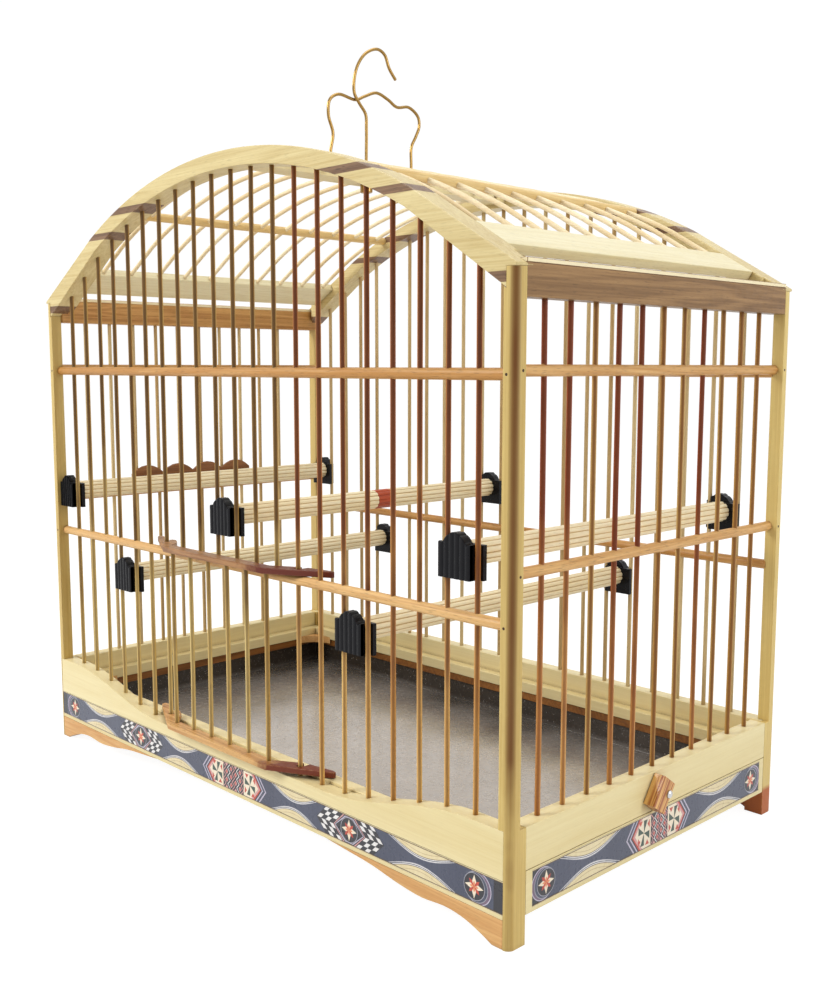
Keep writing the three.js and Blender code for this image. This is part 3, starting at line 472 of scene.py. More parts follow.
def side_shade_and_stain(shade, low, high):
    """Darker on the side facing the cage's front right corner: painted shade on the rods, and a brown
    varnish line on the front right post's rounded corner.
    """
    def over(recipe, shown):
        facing = recipe.node("ShaderNodeNewGeometry").outputs["Normal"]
        turned = recipe.vector("DOT_PRODUCT", facing, (0.707, -0.707, 0), output=1)
        share = recipe.times(recipe.spread(turned, low, high), recipe.wander(0.02, 2, 0.88, 1))
        return recipe.mix(share, shown, colour(*shade))
    return over


def browned_corner(shade, low, high):
    """The brown corner of a post, which wore off near its foot."""
    def over(recipe, shown):
        place = recipe.plus(recipe.level(), recipe.wander(0.04, 2, -25, 25))
        share = recipe.spread(place, 35, 110, 0.25, 1)
        return recipe.mix(share, shown, side_shade_and_stain(shade, low, high)(recipe, shown))
    return over


ARCH_LAYERS = ((316, 321), (362.4, 366.6), (376.6, 380.9))
PALE = dict(light=(240, 227, 180), dark=(214, 190, 124), bands=0.1, streaks=0.16, tone=0.35, pores=0.05)
WALNUT = dict(light=(172, 134, 88), dark=(116, 84, 50), bands=0.4, streaks=0.5, tone=0.3, pores=0.4)
ROD = dict(bands=0.2, streaks=0.5, tone=0.7, pores=0.25, varnish=0.05, shade_and_grime_amount=0.75)
DOWEL = dict(light=(234, 192, 130), dark=(188, 134, 70), bands=0.3, streaks=0.5, tone=0.5, pores=0.5)
DOOR_MIDDLE = (CENTRE.x / MM) - 9

pale_x = wood("pale_wood_lengthways", grain=ALONG_X, **PALE)
pale_y = wood("pale_wood_crossways", grain=ALONG_Y, **PALE)
POST = dict(light=(226, 202, 130), dark=(190, 154, 78), grain=ALONG_Z, bands=0.1, tone=0.5, pores=0.1,
            shade_and_grime_amount=0.3)
post_wood = wood("post_wood", over=browned_corner((104, 58, 8), 0.66, 1.0), **POST)
stained_post_wood = wood("stained_post_wood", over=stained_bottom((176, 92, 34), 17), **POST)
arch_wood = wood("arch_wood", (230, 214, 160), (190, 164, 104), ALONG_X, bands=0.2,
                 over=in_layers(ARCH_LAYERS, (146, 114, 84), (92, 64, 44)))
lath_wood = wood("lath_wood", (250, 238, 202), (232, 212, 160), ALONG_Y, streaks=0.15, bands=0.1)
eave_wood = wood("eave_wood", (242, 234, 198), (216, 198, 142), ALONG_Y, streaks=0.3, bands=0.2)
walnut = wood("walnut", grain=ALONG_Y, **WALNUT)
# A paler, golden copy of the walnut for the left top rail: painted light on its inner face, which lies in
# shade.
walnut_painted_lit = wood("walnut_painted_lit", (220, 172, 104), (164, 112, 56), ALONG_Y, bands=0.4, pores=0.4)
foot_wood = wood("foot_wood", (230, 186, 124), (202, 144, 84), ALONG_X, bands=0.35, pores=0.2)
stained_foot_wood = wood("stained_foot_wood", (200, 104, 36), (128, 52, 12), ALONG_X, bands=0.45)
# Brown wood made darker, with strong dark corners: painted shade under the ledges over the wood's own
# brown.
lining_wood = wood("lining_wood", (166, 108, 50), (96, 58, 24), ALONG_Y, shade_and_grime=(30, 20, 12), shade_and_grime_amount=0.9)
# These rod woods get painted shade over the middle rail and on one side.
rod_olive = wood("rod_olive", (244, 222, 150), (210, 172, 96), ALONG_Z,
                 over=shaded_top((222, 200, 160), (92, 64, 30)), **ROD)
rod_brown = wood("rod_brown", (236, 186, 112), (190, 130, 66), ALONG_Z,
                 over=shaded_top((206, 132, 76), (104, 44, 10)), **ROD)
# For the front rods right of the door and the catch rod: a redder copy of rod_olive with deeper painted
# shade, standing for the shade those rods are seen in.
rod_red_shaded = wood("rod_red_shaded", (244, 206, 126), (204, 148, 74), ALONG_Z,
               over=shaded_top((220, 170, 116), (92, 44, 16)), **ROD)
# The right wall's plain rods get painted shade on the side facing the front right corner.
rod_gold = wood("rod_gold", (226, 192, 122), (190, 142, 72), ALONG_Z,
                over=side_shade_and_stain((118, 72, 26), 0.5, 1.0), **ROD)
rod_back = wood("rod_back", (226, 206, 156), (184, 152, 100), ALONG_Z, **ROD)
rod_roof = wood("rod_roof", (252, 240, 206), (232, 208, 160), ALONG_X, **ROD)
dowel_x = wood("dowel_lengthways", grain=ALONG_X, **DOWEL)
dowel_y = wood("dowel_crossways", grain=ALONG_Y, **DOWEL)
purlin_wood = wood("purlin_wood", (242, 214, 150), (212, 170, 100), ALONG_Y)
perch_wood = wood("perch_wood", (255, 246, 214), (240, 220, 172), ALONG_Y, streaks=0.3, shade_and_grime_amount=0.15)
perch_groove = wood("perch_groove", (228, 202, 152), (190, 154, 100), ALONG_Y, shade_and_grime_amount=0.3)
perch_band = wood("perch_band", (204, 92, 54), (150, 58, 34), ALONG_Y)
strip_wood = wood("strip_wood", (228, 184, 122), (176, 122, 66), ALONG_X, bands=0.5, pores=0.6, gloss=0.5,
                  over=stained_end(DOOR_MIDDLE, (44, 56), (110, 46, 22)))
top_strip_wood = wood("top_strip_wood", (188, 140, 92), (122, 80, 46), ALONG_X, bands=0.5, pores=0.6,
                      over=stained_end(DOOR_MIDDLE, (30, 44), (96, 34, 14)))
scallop_wood = wood("scallop_wood", (170, 118, 74), (116, 72, 40), ALONG_Y, pores=0.5)
TOGGLE_GRAIN = (0, math.cos(math.radians(54.6)), math.sin(math.radians(54.6)))
button_wood = wood("button_wood", (252, 202, 116), (160, 84, 26), TOGGLE_GRAIN, bands=0.9, streaks=0.3,
                   varnish=0.5)
hole_dark = wood("hole_dark", (70, 42, 24), (40, 24, 14), ALONG_X, varnish=0.0)
black_plastic = plastic("black_plastic", (12, 12, 16), (30, 30, 36))
pan_metal = pan_sheet("pan_metal", (188, 181, 174), (206, 202, 198), (60, 52, 44))
brass_wire = metal("brass_wire", (160, 128, 74), (172, 140, 82), 0.2)
nail_steel = metal("nail_steel", (206, 206, 206), (240, 240, 240), 0.22)

# The marquetry's woods: each with its light and its dark colour.
VENEERS = {
    "charcoal": ((56, 56, 62), (34, 34, 40)),
    "slate": ((80, 85, 104), (60, 65, 84)),
    "grey": ((168, 168, 178), (138, 138, 150)),
    "white": ((240, 238, 236), (214, 212, 212)),
    "cream": ((234, 220, 178), (212, 192, 142)),
    "bone": ((246, 234, 212), (228, 208, 178)),
    "tan": ((196, 174, 128), (170, 146, 102)),
    "brown": ((112, 90, 62), (80, 62, 42)),
    "lilac": ((204, 198, 214), (176, 168, 190)),
    "purple": ((124, 104, 126), (96, 78, 98)),
    "pink": ((220, 168, 166), (192, 136, 136)),
    "red": ((208, 84, 66), (160, 56, 46)),
    "orange": ((236, 158, 112), (214, 126, 84)),
    "green": ((66, 86, 74), (42, 60, 50)),
}
veneers = {shade: wood(shade + "_veneer", light, dark, ALONG_Z, bands=0.1, streaks=0.3, tone=0.3,
                       pores=0.0, gloss=0.3, varnish=0.4, relief=0.1, shade_and_grime_amount=0.2, rubbed=0.0)
           for shade, (light, dark) in VENEERS.items()}


# --- solids ----------------------------------------------------------------------------------


class Stock:
    """Closed solids gathered into one mesh, in millimetres. Each face keeps the number of its finish."""

    def __init__(self):
        self.points, self.faces, self.finishes = [], [], []

    def add(self, points, faces, finish=0):
        """Adds a solid's points, and its faces as numbers of its own points."""
        first = len(self.points)
        self.points += [tuple(point) for point in points]
        self.faces += [[first + i for i in face] for face in faces]
        self.finishes += [finish] * len(faces)

    def loft(self, rings, finish=0, side_finishes=None):
        """A solid through rings of points. Its sides can repeat a row of finishes around the ring."""
        first, count = len(self.finishes) + 2, len(rings[0])
        last = (len(rings) - 1) * count
        faces = [list(range(count))[::-1], [last + i for i in range(count)]]
        for row in range(len(rings) - 1):
            for i in range(count):
                a, b = row * count + i, row * count + (i + 1) % count
                faces.append([a, b, b + count, a + count])
        self.add([point for ring in rings for point in ring], faces, finish)
        if side_finishes:
            for i in range(first, len(self.finishes)):
                self.finishes[i] = side_finishes[(i - first) % count % len(side_finishes)]

    def prism(self, outline, low, high, axis="y", finish=0):
        """An outline pulled out along an axis: drawn in X and Z for y, Y and Z for x, X and Y for z."""
        place = {"x": lambda a, b, c: (c, a, b), "y": lambda a, b, c: (a, c, b),
                 "z": lambda a, b, c: (a, b, c)}
        self.loft([[place[axis](a, b, level) for a, b in outline] for level in (low, high)], finish)

    def rod(self, path, radius, sides=ROD_SIDES, finish=0, chamfer=0.35):
        """A round rod along a path, with its ends broken."""
        path = [Vector(point) for point in path]
        first, last = (path[1] - path[0]).normalized(), (path[-1] - path[-2]).normalized()
        path = [path[0], path[0] + first * chamfer, *path[1:-1], path[-1] - last * chamfer, path[-1]]
        radii = [radius - chamfer, *[radius] * (len(path) - 2), radius - chamfer]
        normal, rings = first.orthogonal().normalized(), []
        for i, point in enumerate(path):
            ahead = (path[min(i + 1, len(path) - 1)] - path[max(i - 1, 0)]).normalized()
            normal = (normal - ahead * normal.dot(ahead)).normalized()
            side = ahead.cross(normal)
            turns = [2 * math.pi * k / sides for k in range(sides)]
            rings.append([point + radii[i] * (normal * math.cos(t) + side * math.sin(t)) for t in turns])
        self.loft(rings, finish)

    def straight_rod(self, start, end, radius, sides=DOWEL_SIDES, finish=0, chamfer=0.35):
        middle = [(a + b) / 2 for a, b in zip(start, end)]
        self.rod([start, middle, end], radius, sides, finish, chamfer)


def round_edges(work, width, sharp=math.radians(30)):
    """Rounds every edge whose faces meet at more than the sharp angle."""
    edges = [e for e in work.edges if e.is_manifold and e.calc_face_angle(0) > sharp]
    bmesh.ops.bevel(work, geom=edges, offset=width * MM, offset_type="OFFSET", segments=2,
                    profile=0.5, affect="EDGES", clamp_overlap=True)


def set_out(name, work):
    """An object in the scene made of a bmesh, which is used up."""
    mesh = bpy.data.meshes.new(name)
    work.to_mesh(mesh)
    work.free()
    made = bpy.data.objects.new(name, mesh)
    bpy.context.scene.collection.objects.link(made)
    return made


def show(name, work, materials, body, nodes=(), smooth=32):
    """Turns a bmesh into a piece that rides on a body and stands for its nodes."""
    made = set_out(name, work)
    for material in materials:
        made.data.materials.append(material)
    made.data.polygons.foreach_set("use_smooth", [True] * len(made.data.polygons))
    made.data.set_sharp_from_angle(angle=math.radians(smooth))
    evened = made.modifiers.new("evened_normals", "WEIGHTED_NORMAL")
    evened.keep_sharp = True
    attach(made, body)
    if nodes:
        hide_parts(*nodes)


def solid_of(stock):
    """The stock's solids as a bmesh, with all faces turned outwards."""
    mesh = bpy.data.meshes.new("draft")
    mesh.from_pydata([at(*point) for point in stock.points], [], stock.faces)
    mesh.polygons.foreach_set("material_index", stock.finishes)
    work = bmesh.new()
    work.from_mesh(mesh)
    bpy.data.meshes.remove(mesh)
    bmesh.ops.recalc_face_normals(work, faces=work.faces)
    return work


def make(name, stock, materials, body, nodes=(), edge=0.0, smooth=32):
    """A piece made of the stock's solids, which stands for its nodes."""
    work = solid_of(stock)
    if edge:
        round_edges(work, edge)
    show(name, work, materials, body, nodes, smooth)


def make_flats_whole(work):
    """Joins points that lie on each other, and faces that lie in one plane."""
    bmesh.ops.remove_doubles(work, verts=work.verts, dist=1e-6)
    bmesh.ops.dissolve_limit(work, angle_limit=math.radians(0.8), verts=work.verts, edges=work.edges)


def draft_of(node):
    """A node's own solid, with its flat faces whole, to be worked on."""
    work = bmesh.new()
    work.from_mesh(CAD[node].data)
    make_flats_whole(work)
    for face in work.faces:
        face.material_index = 0
    return work


def board(node, material, body="cage", edge=EDGE):
    """A board of the right shape, with its sawn edges rounded."""
    work = draft_of(node)
    round_edges(work, edge)
    show(node + "_rounded", work, [material], body, [node])


# --- the wooden frame ------------------------------------------------------------------------


def cut_away(work, stock):
    """What is left of a solid when the stock's shape is cut away from it."""
    blank, waste = set_out("blank", work), set_out("waste", solid_of(stock))
    cut = blank.modifiers.new("cut", "BOOLEAN")
    cut.operation, cut.solver, cut.object = "DIFFERENCE", "EXACT", waste
    seen = blank.evaluated_get(bpy.context.evaluated_depsgraph_get())
    left = bmesh.new()
    left.from_mesh(seen.to_mesh())
    seen.to_mesh_clear()
    for draft in (blank, waste):
        mesh = draft.data
        bpy.data.objects.remove(draft)
        bpy.data.meshes.remove(mesh)
    make_flats_whole(left)
    return left


def planed_post(corner, material):
    """A post that is planed down on its two inner sides, from the boards up."""
    to_x = 1 if corner.endswith("right") else -1
    to_y = 1 if corner.startswith("back") else -1
    beyond, under = 1, 0.3
    x0, y0 = POST_IN_X - beyond, POST_IN_Y - beyond
    work = draft_of("post_" + corner)
    for x1, y1 in ((HALF_X - POST_SLIM, HALF_Y + beyond), (HALF_X + beyond, HALF_Y - POST_SLIM)):
        corners = [(to_x * x, to_y * y) for x, y in ((x0, y0), (x0, y1), (x1, y1), (x1, y0))]
        waste = Stock()
        waste.prism(corners, SILL_HIGH - under, EAVE_TOP, "z")
        work = cut_away(work, waste)
    round_edges(work, POST_EDGE)
    show(f"post_{corner}_planed", work, [material], "cage", [f"post_{corner}"])


def add_boards():
    """The posts, the feet and all plain boards of the cage."""
    for corner in ("front_left", "front_right", "back_left", "back_right"):
        stained = corner == "back_right"
        planed_post(corner, stained_post_wood if stained else post_wood)
        board(f"{corner}_foot", stained_foot_wood if stained else foot_wood, edge=FOOT_EDGE)
    for node in ("front_rail", "back_rail", "front_ledge", "back_ledge"):
        board(node, pale_x)
    for node in ("left_rail", "right_rail", "left_ledge", "right_ledge", "ridge_board"):
        board(node, pale_y)
    for node in ("left_eave_board", "right_eave_board"):
        board(node, eave_wood)
    board("lining", lining_wood)
    for node in ("front_arch", "back_arch"):
        board(node, arch_wood, edge=FOOT_EDGE)
    board("scalloped_strip", scallop_wood, edge=0.25)


def add_top_rails():
    """A walnut board with a pale lath along its top edge, over each side wall."""
    lath, seam = 2.3, 0.02
    y0, y1 = POST_SLIM - HALF_Y, HALF_Y - POST_SLIM
    for side, board_wood in (("left", walnut_painted_lit), ("right", walnut)):
        node = f"{side}_top_rail"
        (x0, x1), _, (z0, z1) = span(node)
        stock = Stock()
        stock.prism(rectangle(x0, x1, z0, z1 - lath), y0, y1)
        stock.prism(rectangle(x0, x1, z1 - lath + seam, z1), y0, y1, finish=1)
        make(node + "_boards", stock, [board_wood, lath_wood], "cage", [node], edge=0.3)


def add_corner_blocks():
    """A block with a hollow face in each corner, half under the ledges."""
    (_, left_x), (y0, y1), (z0, z1) = span("left_ledge")
    right_x = span("right_ledge")[0][0]
    front_y, back_y = span("front_ledge")[1][1], span("back_ledge")[1][0]
    reach, below, above, steps = 20, 3.8, 2, 10
    stock = Stock()
    for x, y, to_x, to_y in ((left_x, front_y, 1, 1), (right_x, front_y, -1, 1),
                             (left_x, back_y, 1, -1), (right_x, back_y, -1, -1)):
        turns = [math.pi / 2 * i / steps for i in range(steps + 1)]
        hollow = [(x + to_x * reach * (1 - math.sin(turn)), y + to_y * reach * (1 - math.cos(turn)))
                  for turn in turns]
        stock.prism([(x, y), *hollow], z0 - below, z0 + above, "z")
    make("ledge_corner_blocks", stock, [foot_wood], "cage", edge=0.2)


def add_brads():
    """Heads of the brads that hold the round middle rails in the posts."""
    head = {"radius": 0.75, "sides": 10, "chamfer": 0.02}
    inwards, sunk, proud, nearly_flush = 5.4, 0.8, 0.04, -0.02
    stock = Stock()
    for z in FRONT_DOWELS:
        for side in (-1, 1):
            x, y = side * (HALF_X - inwards), -HALF_Y
            stock.rod([(x, y + sunk, z), (x, y - proud, z)], **head)
    for z in SIDE_DOWELS:
        for side, out in ((-1, nearly_flush), (1, proud)):
            x = side * HALF_X
            for end in (-1, 1):
                y = end * (HALF_Y - inwards)
                stock.rod([(x - side * sunk, y, z), (x + side * out, y, z)], **head)
    make("brad_heads", stock, [hole_dark], "cage")


# --- walls and roof of rods ------------------------------------------------------------------


def wavered(x, y, z0, z1, stock, finish):
    """An upright rod that isn't quite straight."""
    most_x, most_y, uneven, pieces = 0.25, 0.2, 0.03, 6
    bow_x, bow_y = chance.uniform(-most_x, most_x), chance.uniform(-most_y, most_y)
    path = []
    for i in range(pieces + 1):
        share = i / pieces
        bow = math.sin(math.pi * share)
        path.append((x + bow_x * bow, y + bow_y * bow, z0 + (z1 - z0) * share))
    stock.rod(path, ROD_THICK / 2 * chance.uniform(1 - uneven, 1 + uneven), finish=finish)


def long_wall(y, bottom, rods, reds):
    """Rods and round middle rails of the front or the back."""
    stock = Stock()
    end = HALF_X - POST_SLIM + SUNK
    for z in FRONT_DOWELS:
        stock.straight_rod((-end, y, z), (end, y, z), DOWEL_THICK / 2, finish=2)
    for index in rods:
        x = rod_x(index)
        wavered(x, y, bottom(index), under_arch(x) + SUNK, stock, 1 if index in reds else 0)
    return stock


def side_wall(side, x, top):
    """Rods and round middle rails of the left or the right side."""
    stock = Stock()
    end = HALF_Y - POST_SLIM + SUNK
    for z in SIDE_DOWELS:
        stock.straight_rod((x, -end, z), (x, end, z), DOWEL_THICK / 2, finish=1)
    for index in range(SIDE_RODS):
        y = ROD_PITCH * (index - (SIDE_RODS - 1) / 2)
        finish = 2 if side == "right" and index in BROWN_SIDE_RODS else 0
        wavered(x, y, SILL_HIGH - SUNK, top, stock, finish)
    return stock


def add_walls():
    """The four walls, and the catch rod that the door's tongue snaps past."""
    def front_bottom(index):
        return FRONT_DOWELS[0] if index in DOOR_RODS else sill(rod_x(index)) - SUNK

    reds = range(RED_RODS_FROM, FRONT_RODS)
    rods = [index for index in range(FRONT_RODS) if index != CATCH_ROD]
    front = long_wall(-ROD_Y, front_bottom, rods, reds)
    panels = ["front_screen_left", "front_screen_middle", "front_screen_right"]
    make("front_wall_rods", front, [rod_olive, rod_red_shaded, dowel_x], "cage", panels)
    catch = Stock()
    x = rod_x(CATCH_ROD)
    wavered(x, -ROD_Y, sill(x) - SUNK, under_arch(x) + SUNK, catch, 0)
    make("catch_rod_round", catch, [rod_red_shaded], "cage", ["catch_rod"])
    back = long_wall(ROD_Y, lambda index: SILL_HIGH - SUNK, range(FRONT_RODS), ())
    make("back_wall_rods", back, [rod_back, rod_red_shaded, dowel_x], "cage", ["back_screen"])
    top = span("left_top_rail")[2][0] + SUNK
    for side, x, plain in (("left", -ROD_X, rod_back), ("right", ROD_X, rod_gold)):
        woods = [plain, dowel_y, rod_brown]
        make(f"{side}_wall_rods", side_wall(side, x, top), woods, "cage", [f"{side}_screen"])


def add_roof_rods():
    """The roof's bent rods, and the two round rails under them."""
    lap, steps = 3, 44
    reach = along_roof(EAVE_FROM) + lap
    stock = Stock()
    for index in range(ROOF_RODS):
        y = ROOF_ROD_PITCH * (index - (ROOF_RODS - 1) / 2)
        path = []
        for i in range(steps + 1):
            x, z = roof_point(reach * (2 * i / steps - 1), ROOF_ROD_DEPTH)
            path.append((x, y, z))
        stock.rod(path, ROD_THICK / 2)
    depth, end = DOWEL_THICK / 2, HALF_Y - ARCH_THICK + SUNK
    for x in (-PURLIN_X, PURLIN_X):
        _, z = roof_point(ROOF_RADIUS * math.asin(x / ROOF_RADIUS), depth)
        stock.straight_rod((x, -end, z), (x, end, z), depth, finish=1)
    make("roof_rods", stock, [rod_roof, purlin_wood], "cage", ["roof_screen"])


# --- perches and clips -----------------------------------------------------------------------


def add_perches():
    """Perches with rounded flutes between narrow dark grooves. One has a red band."""
    plain, red, dark = 0, 1, 2
    around_flute = [dark, *[plain] * 8, dark]
    sides = len(around_flute) * PERCH_FLUTES
    red_from, red_to, broken = 0.50, 0.56, 0.3

    def ring(x, y, z, shrink=0.0):
        points = []
        for i in range(sides):
            angle = 2 * math.pi * i / sides
            groove = (1 - abs(math.sin(PERCH_FLUTES / 2 * angle))) ** 1.5
            radius = PERCH_RADIUS - FLUTE_DEEP * groove - shrink
            points.append((x + radius * math.cos(angle), y, z + radius * math.sin(angle)))
        return points

    for name, (rod, z) in PERCHES.items():
        left = -POST_IN_X if rod < 0 else rod_x(rod)
        x = (left + rod_x(rod + 1)) / 2
        y0, y1 = span(name)[1]
        cuts = [y0, y1]
        if name == "perch_2":
            cuts[1:1] = [y0 + red_from * (y1 - y0), y0 + red_to * (y1 - y0)]
        stock = Stock()
        for i, (low, high) in enumerate(zip(cuts, cuts[1:])):
            rings = [ring(x, low, z, broken), ring(x, low + broken, z), ring(x, high - broken, z),
                     ring(x, high, z, broken)]
            banded = i == 1
            stock.loft(rings, red if banded else plain, None if banded else around_flute)
        woods = [perch_wood, perch_band, perch_groove]
        make(name + "_fluted", stock, woods, "cage", [name], smooth=50)


def clip_body(stock, plate, cut, height, front, back):
    """A stretch of a clip: the ribs run up its front and over its bell-shaped top."""
    bottom, shoulder, crown = height - CLIP_LOW, height + CLIP_SHOULDER, height + CLIP_CROWN
    middle, half = (plate[0] + plate[1]) / 2, (plate[1] - plate[0]) / 2
    ribs, rib_high, steps, broken = 6, 0.5, 60, 0.5
    bell, lip_rise = 0.8, 1.1  # the bell's share of the width, and how far the lips beside it rise
    out = math.copysign(1, front - back)
    rings = []
    for i in range(steps + 1):
        x = cut[0] + (cut[1] - cut[0]) * i / steps
        share = (x - middle) / half
        groove = rib_high * (1 - abs(math.sin(math.pi * ribs * (share + 1) / 2)) ** 0.6)
        lift = math.cos(math.pi / 2 * min(abs(share) / bell, 1)) ** 0.9
        curl = lip_rise * max(abs(share) - bell, 0) / (1 - bell)
        top = shoulder + (crown - shoulder) * lift + curl - groove
        face = front - out * groove
        rings.append([(x, face, bottom), (x, face, top - broken), (x, face - out * broken, top),
                      (x, back, top), (x, back, bottom)])
    stock.loft(rings)


def add_clips():
    """Two clips for each perch: each has a plate outside the rods and a tongue inside them."""
    gap, thick, reach = ROD_THICK / 2 + 0.3, 2.4, 3.4
    from_post, tongue_high, tongue_share = 0.1, 5.5, 0.65
    for name, (rod, height) in PERCHES.items():
        right = rod_x(rod + 1)
        left = POST_SLIM - HALF_X + from_post if rod < 0 else rod_x(rod) + gap
        plate = (left if rod < 0 else rod_x(rod) - reach, right - gap)
        for end, side in (("front", -1), ("back", 1)):
            y = side * ROD_Y
            outside = y + side * (gap + thick)
            stock = Stock()
            clip_body(stock, plate, plate, height, outside, y + side * gap)
            clip_body(stock, plate, (left, plate[1]), height, outside, y - side * gap)
            inner = sorted((y - side * gap, y - side * (gap + thick)))
            tip = right + tongue_share * reach
            stock.prism(rectangle(left, tip, height - CLIP_LOW, height + tongue_high), *inner)
            clip = f"{name}_{end}_clip"
            make(clip + "_ribbed", stock, [black_plastic], "cage", [clip], smooth=25)


# --- hanger ----------------------------------------------------------------------------------

SOCKET_Z = span("ridge_board")[2][1] - 5
NUT_Z = span("ridge_board")[2][0] - 2.75
FRAME_WIRE = [  # Y and Z
    (-43.1, SOCKET_Z), (-43.1, 412), (-41, 423.6), (-44.6, 434), (-43.5, 443.5), (-36.5, 448),
    (-22.1, 446.9), (-14, 450.4), (-4, 454), (6, 451.4), (13.9, 447.9), (25, 449.4),
    (33.5, 444.5), (34.6, 438.5), (31.5, 431.5), (27.4, 424), (27.2, 412), (27.2, SOCKET_Z),
]
HOOK_WIRE = [  # Y and Z
    (-15.2, NUT_Z), (-15.2, 410), (-15, 430), (-15.6, 438.5), (-21, 444.6), (-25, 450),
    (-25.2, 458), (-22, 468), (-15, 476.4), (-5.2, 480.5), (1, 478.2), (5, 470.5), (10.8, 464),
]


def smooth_line(points, steps):
    """A smooth line through all the points, with its speed set by the square root of their distances."""
    points = [Vector(point) for point in points]
    points = [2 * points[0] - points[1], *points, 2 * points[-1] - points[-2]]
    line = []
    for i in range(1, len(points) - 2):
        around = points[i - 1:i + 3]
        knots = [0.0]
        for a, b in zip(around, around[1:]):
            knots.append(knots[-1] + math.sqrt((b - a).length))
        for step in range(steps):
            t = knots[1] + (knots[2] - knots[1]) * step / steps
            rows = around
            for level in (1, 2):
                rows = [((knots[k + level] - t) * rows[k] + (t - knots[k]) * rows[k + 1])
                        / (knots[k + level] - knots[k]) for k in range(len(rows) - 1)]
            line.append(((knots[2] - t) * rows[0] + (t - knots[1]) * rows[1]) / (knots[2] - knots[1]))
    return [*line, points[-2]]


def add_hanger():
    """Two bent wires side by side: a frame in the ridge board, and a hook with a nut under it."""
    aside, bends = 1.15, 7
    frame_wire = Stock()
    line = smooth_line([(-aside, y, z) for y, z in FRAME_WIRE], bends)
    frame_wire.rod(line, WIRE_THICK / 2, WIRE_SIDES, chamfer=0.2)
    make("hanger_frame_wire", frame_wire, [brass_wire], "cage", ["hanger_frame"])
    hook = Stock()
    line = smooth_line([(aside, y, z) for y, z in HOOK_WIRE], bends)
    hook.rod(line, WIRE_THICK / 2, WIRE_SIDES, chamfer=0.4)
    low, high = span("hanger_hook")[2][0], span("ridge_board")[2][0]
    y = HOOK_WIRE[0][0]
    hook.straight_rod((aside, y, low), (aside, y, high), 4, 24, chamfer=0.5)
    make("hanger_hook_wire", hook, [brass_wire], "cage", ["hanger_hook"])


# --- door, tray and turn button --------------------------------------------------------------


def add_door():
    """The door's two strips, which have one shape, and its rods."""
    for name, shown in (("door_top_strip", top_strip_wood), ("door_bottom_strip", strip_wood)):
        work = draft_of("door_top_strip")
        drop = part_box(name)[0].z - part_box("door_top_strip")[0].z
        bmesh.ops.translate(work, vec=(0, 0, drop), verts=work.verts)
        round_edges(work, 0.4)
        show(name + "_rounded", work, [shown], "door", [name])
    stock = Stock()
    low, high = span("door_bottom_strip")[2][0] + SUNK, span("door_top_strip")[2][1] - SUNK
    for index in DOOR_RODS:
        wavered(rod_x(index), -ROD_Y - DOOR_RODS_OUT, low, high, stock, 0)
    make("door_rods", stock, [rod_olive], "door", ["door_bottom_strip"])


def add_tray():
    board("tray_pan", pan_metal, body="tray", edge=0.3)
    board("tray_front", pale_y, body="tray", edge=0.3)


def add_turn_button():
    """The wooden button, and the domed nail it turns on."""
    board("turn_button", button_wood, body="button", edge=0.7)
    (x0, x1), (y0, y1), (z0, z1) = span("turn_button_nail")
    y, z, radius = (y0 + y1) / 2, (z0 + z1) / 2, (y1 - y0) / 2
    shank, sides = 0.8, 24
    head = ((1.35, 1), (0.9, 1), (0.4, 0.8), (0.12, 0.5), (0, 0.15))  # from the tip, share of the radius
    profile = [(x0, shank), (x1 - 1.4, shank), *((x1 - back, radius * share) for back, share in head)]
    turns = [2 * math.pi * k / sides for k in range(sides)]
    rings = [[(x, y + r * math.cos(turn), z + r * math.sin(turn)) for turn in turns] for x, r in profile]
    stock = Stock()
    stock.loft(rings)
    make("turn_button_nail_domed", stock, [nail_steel], "cage", ["turn_button_nail"])


# --- marquetry -------------------------------------------------------------------------------


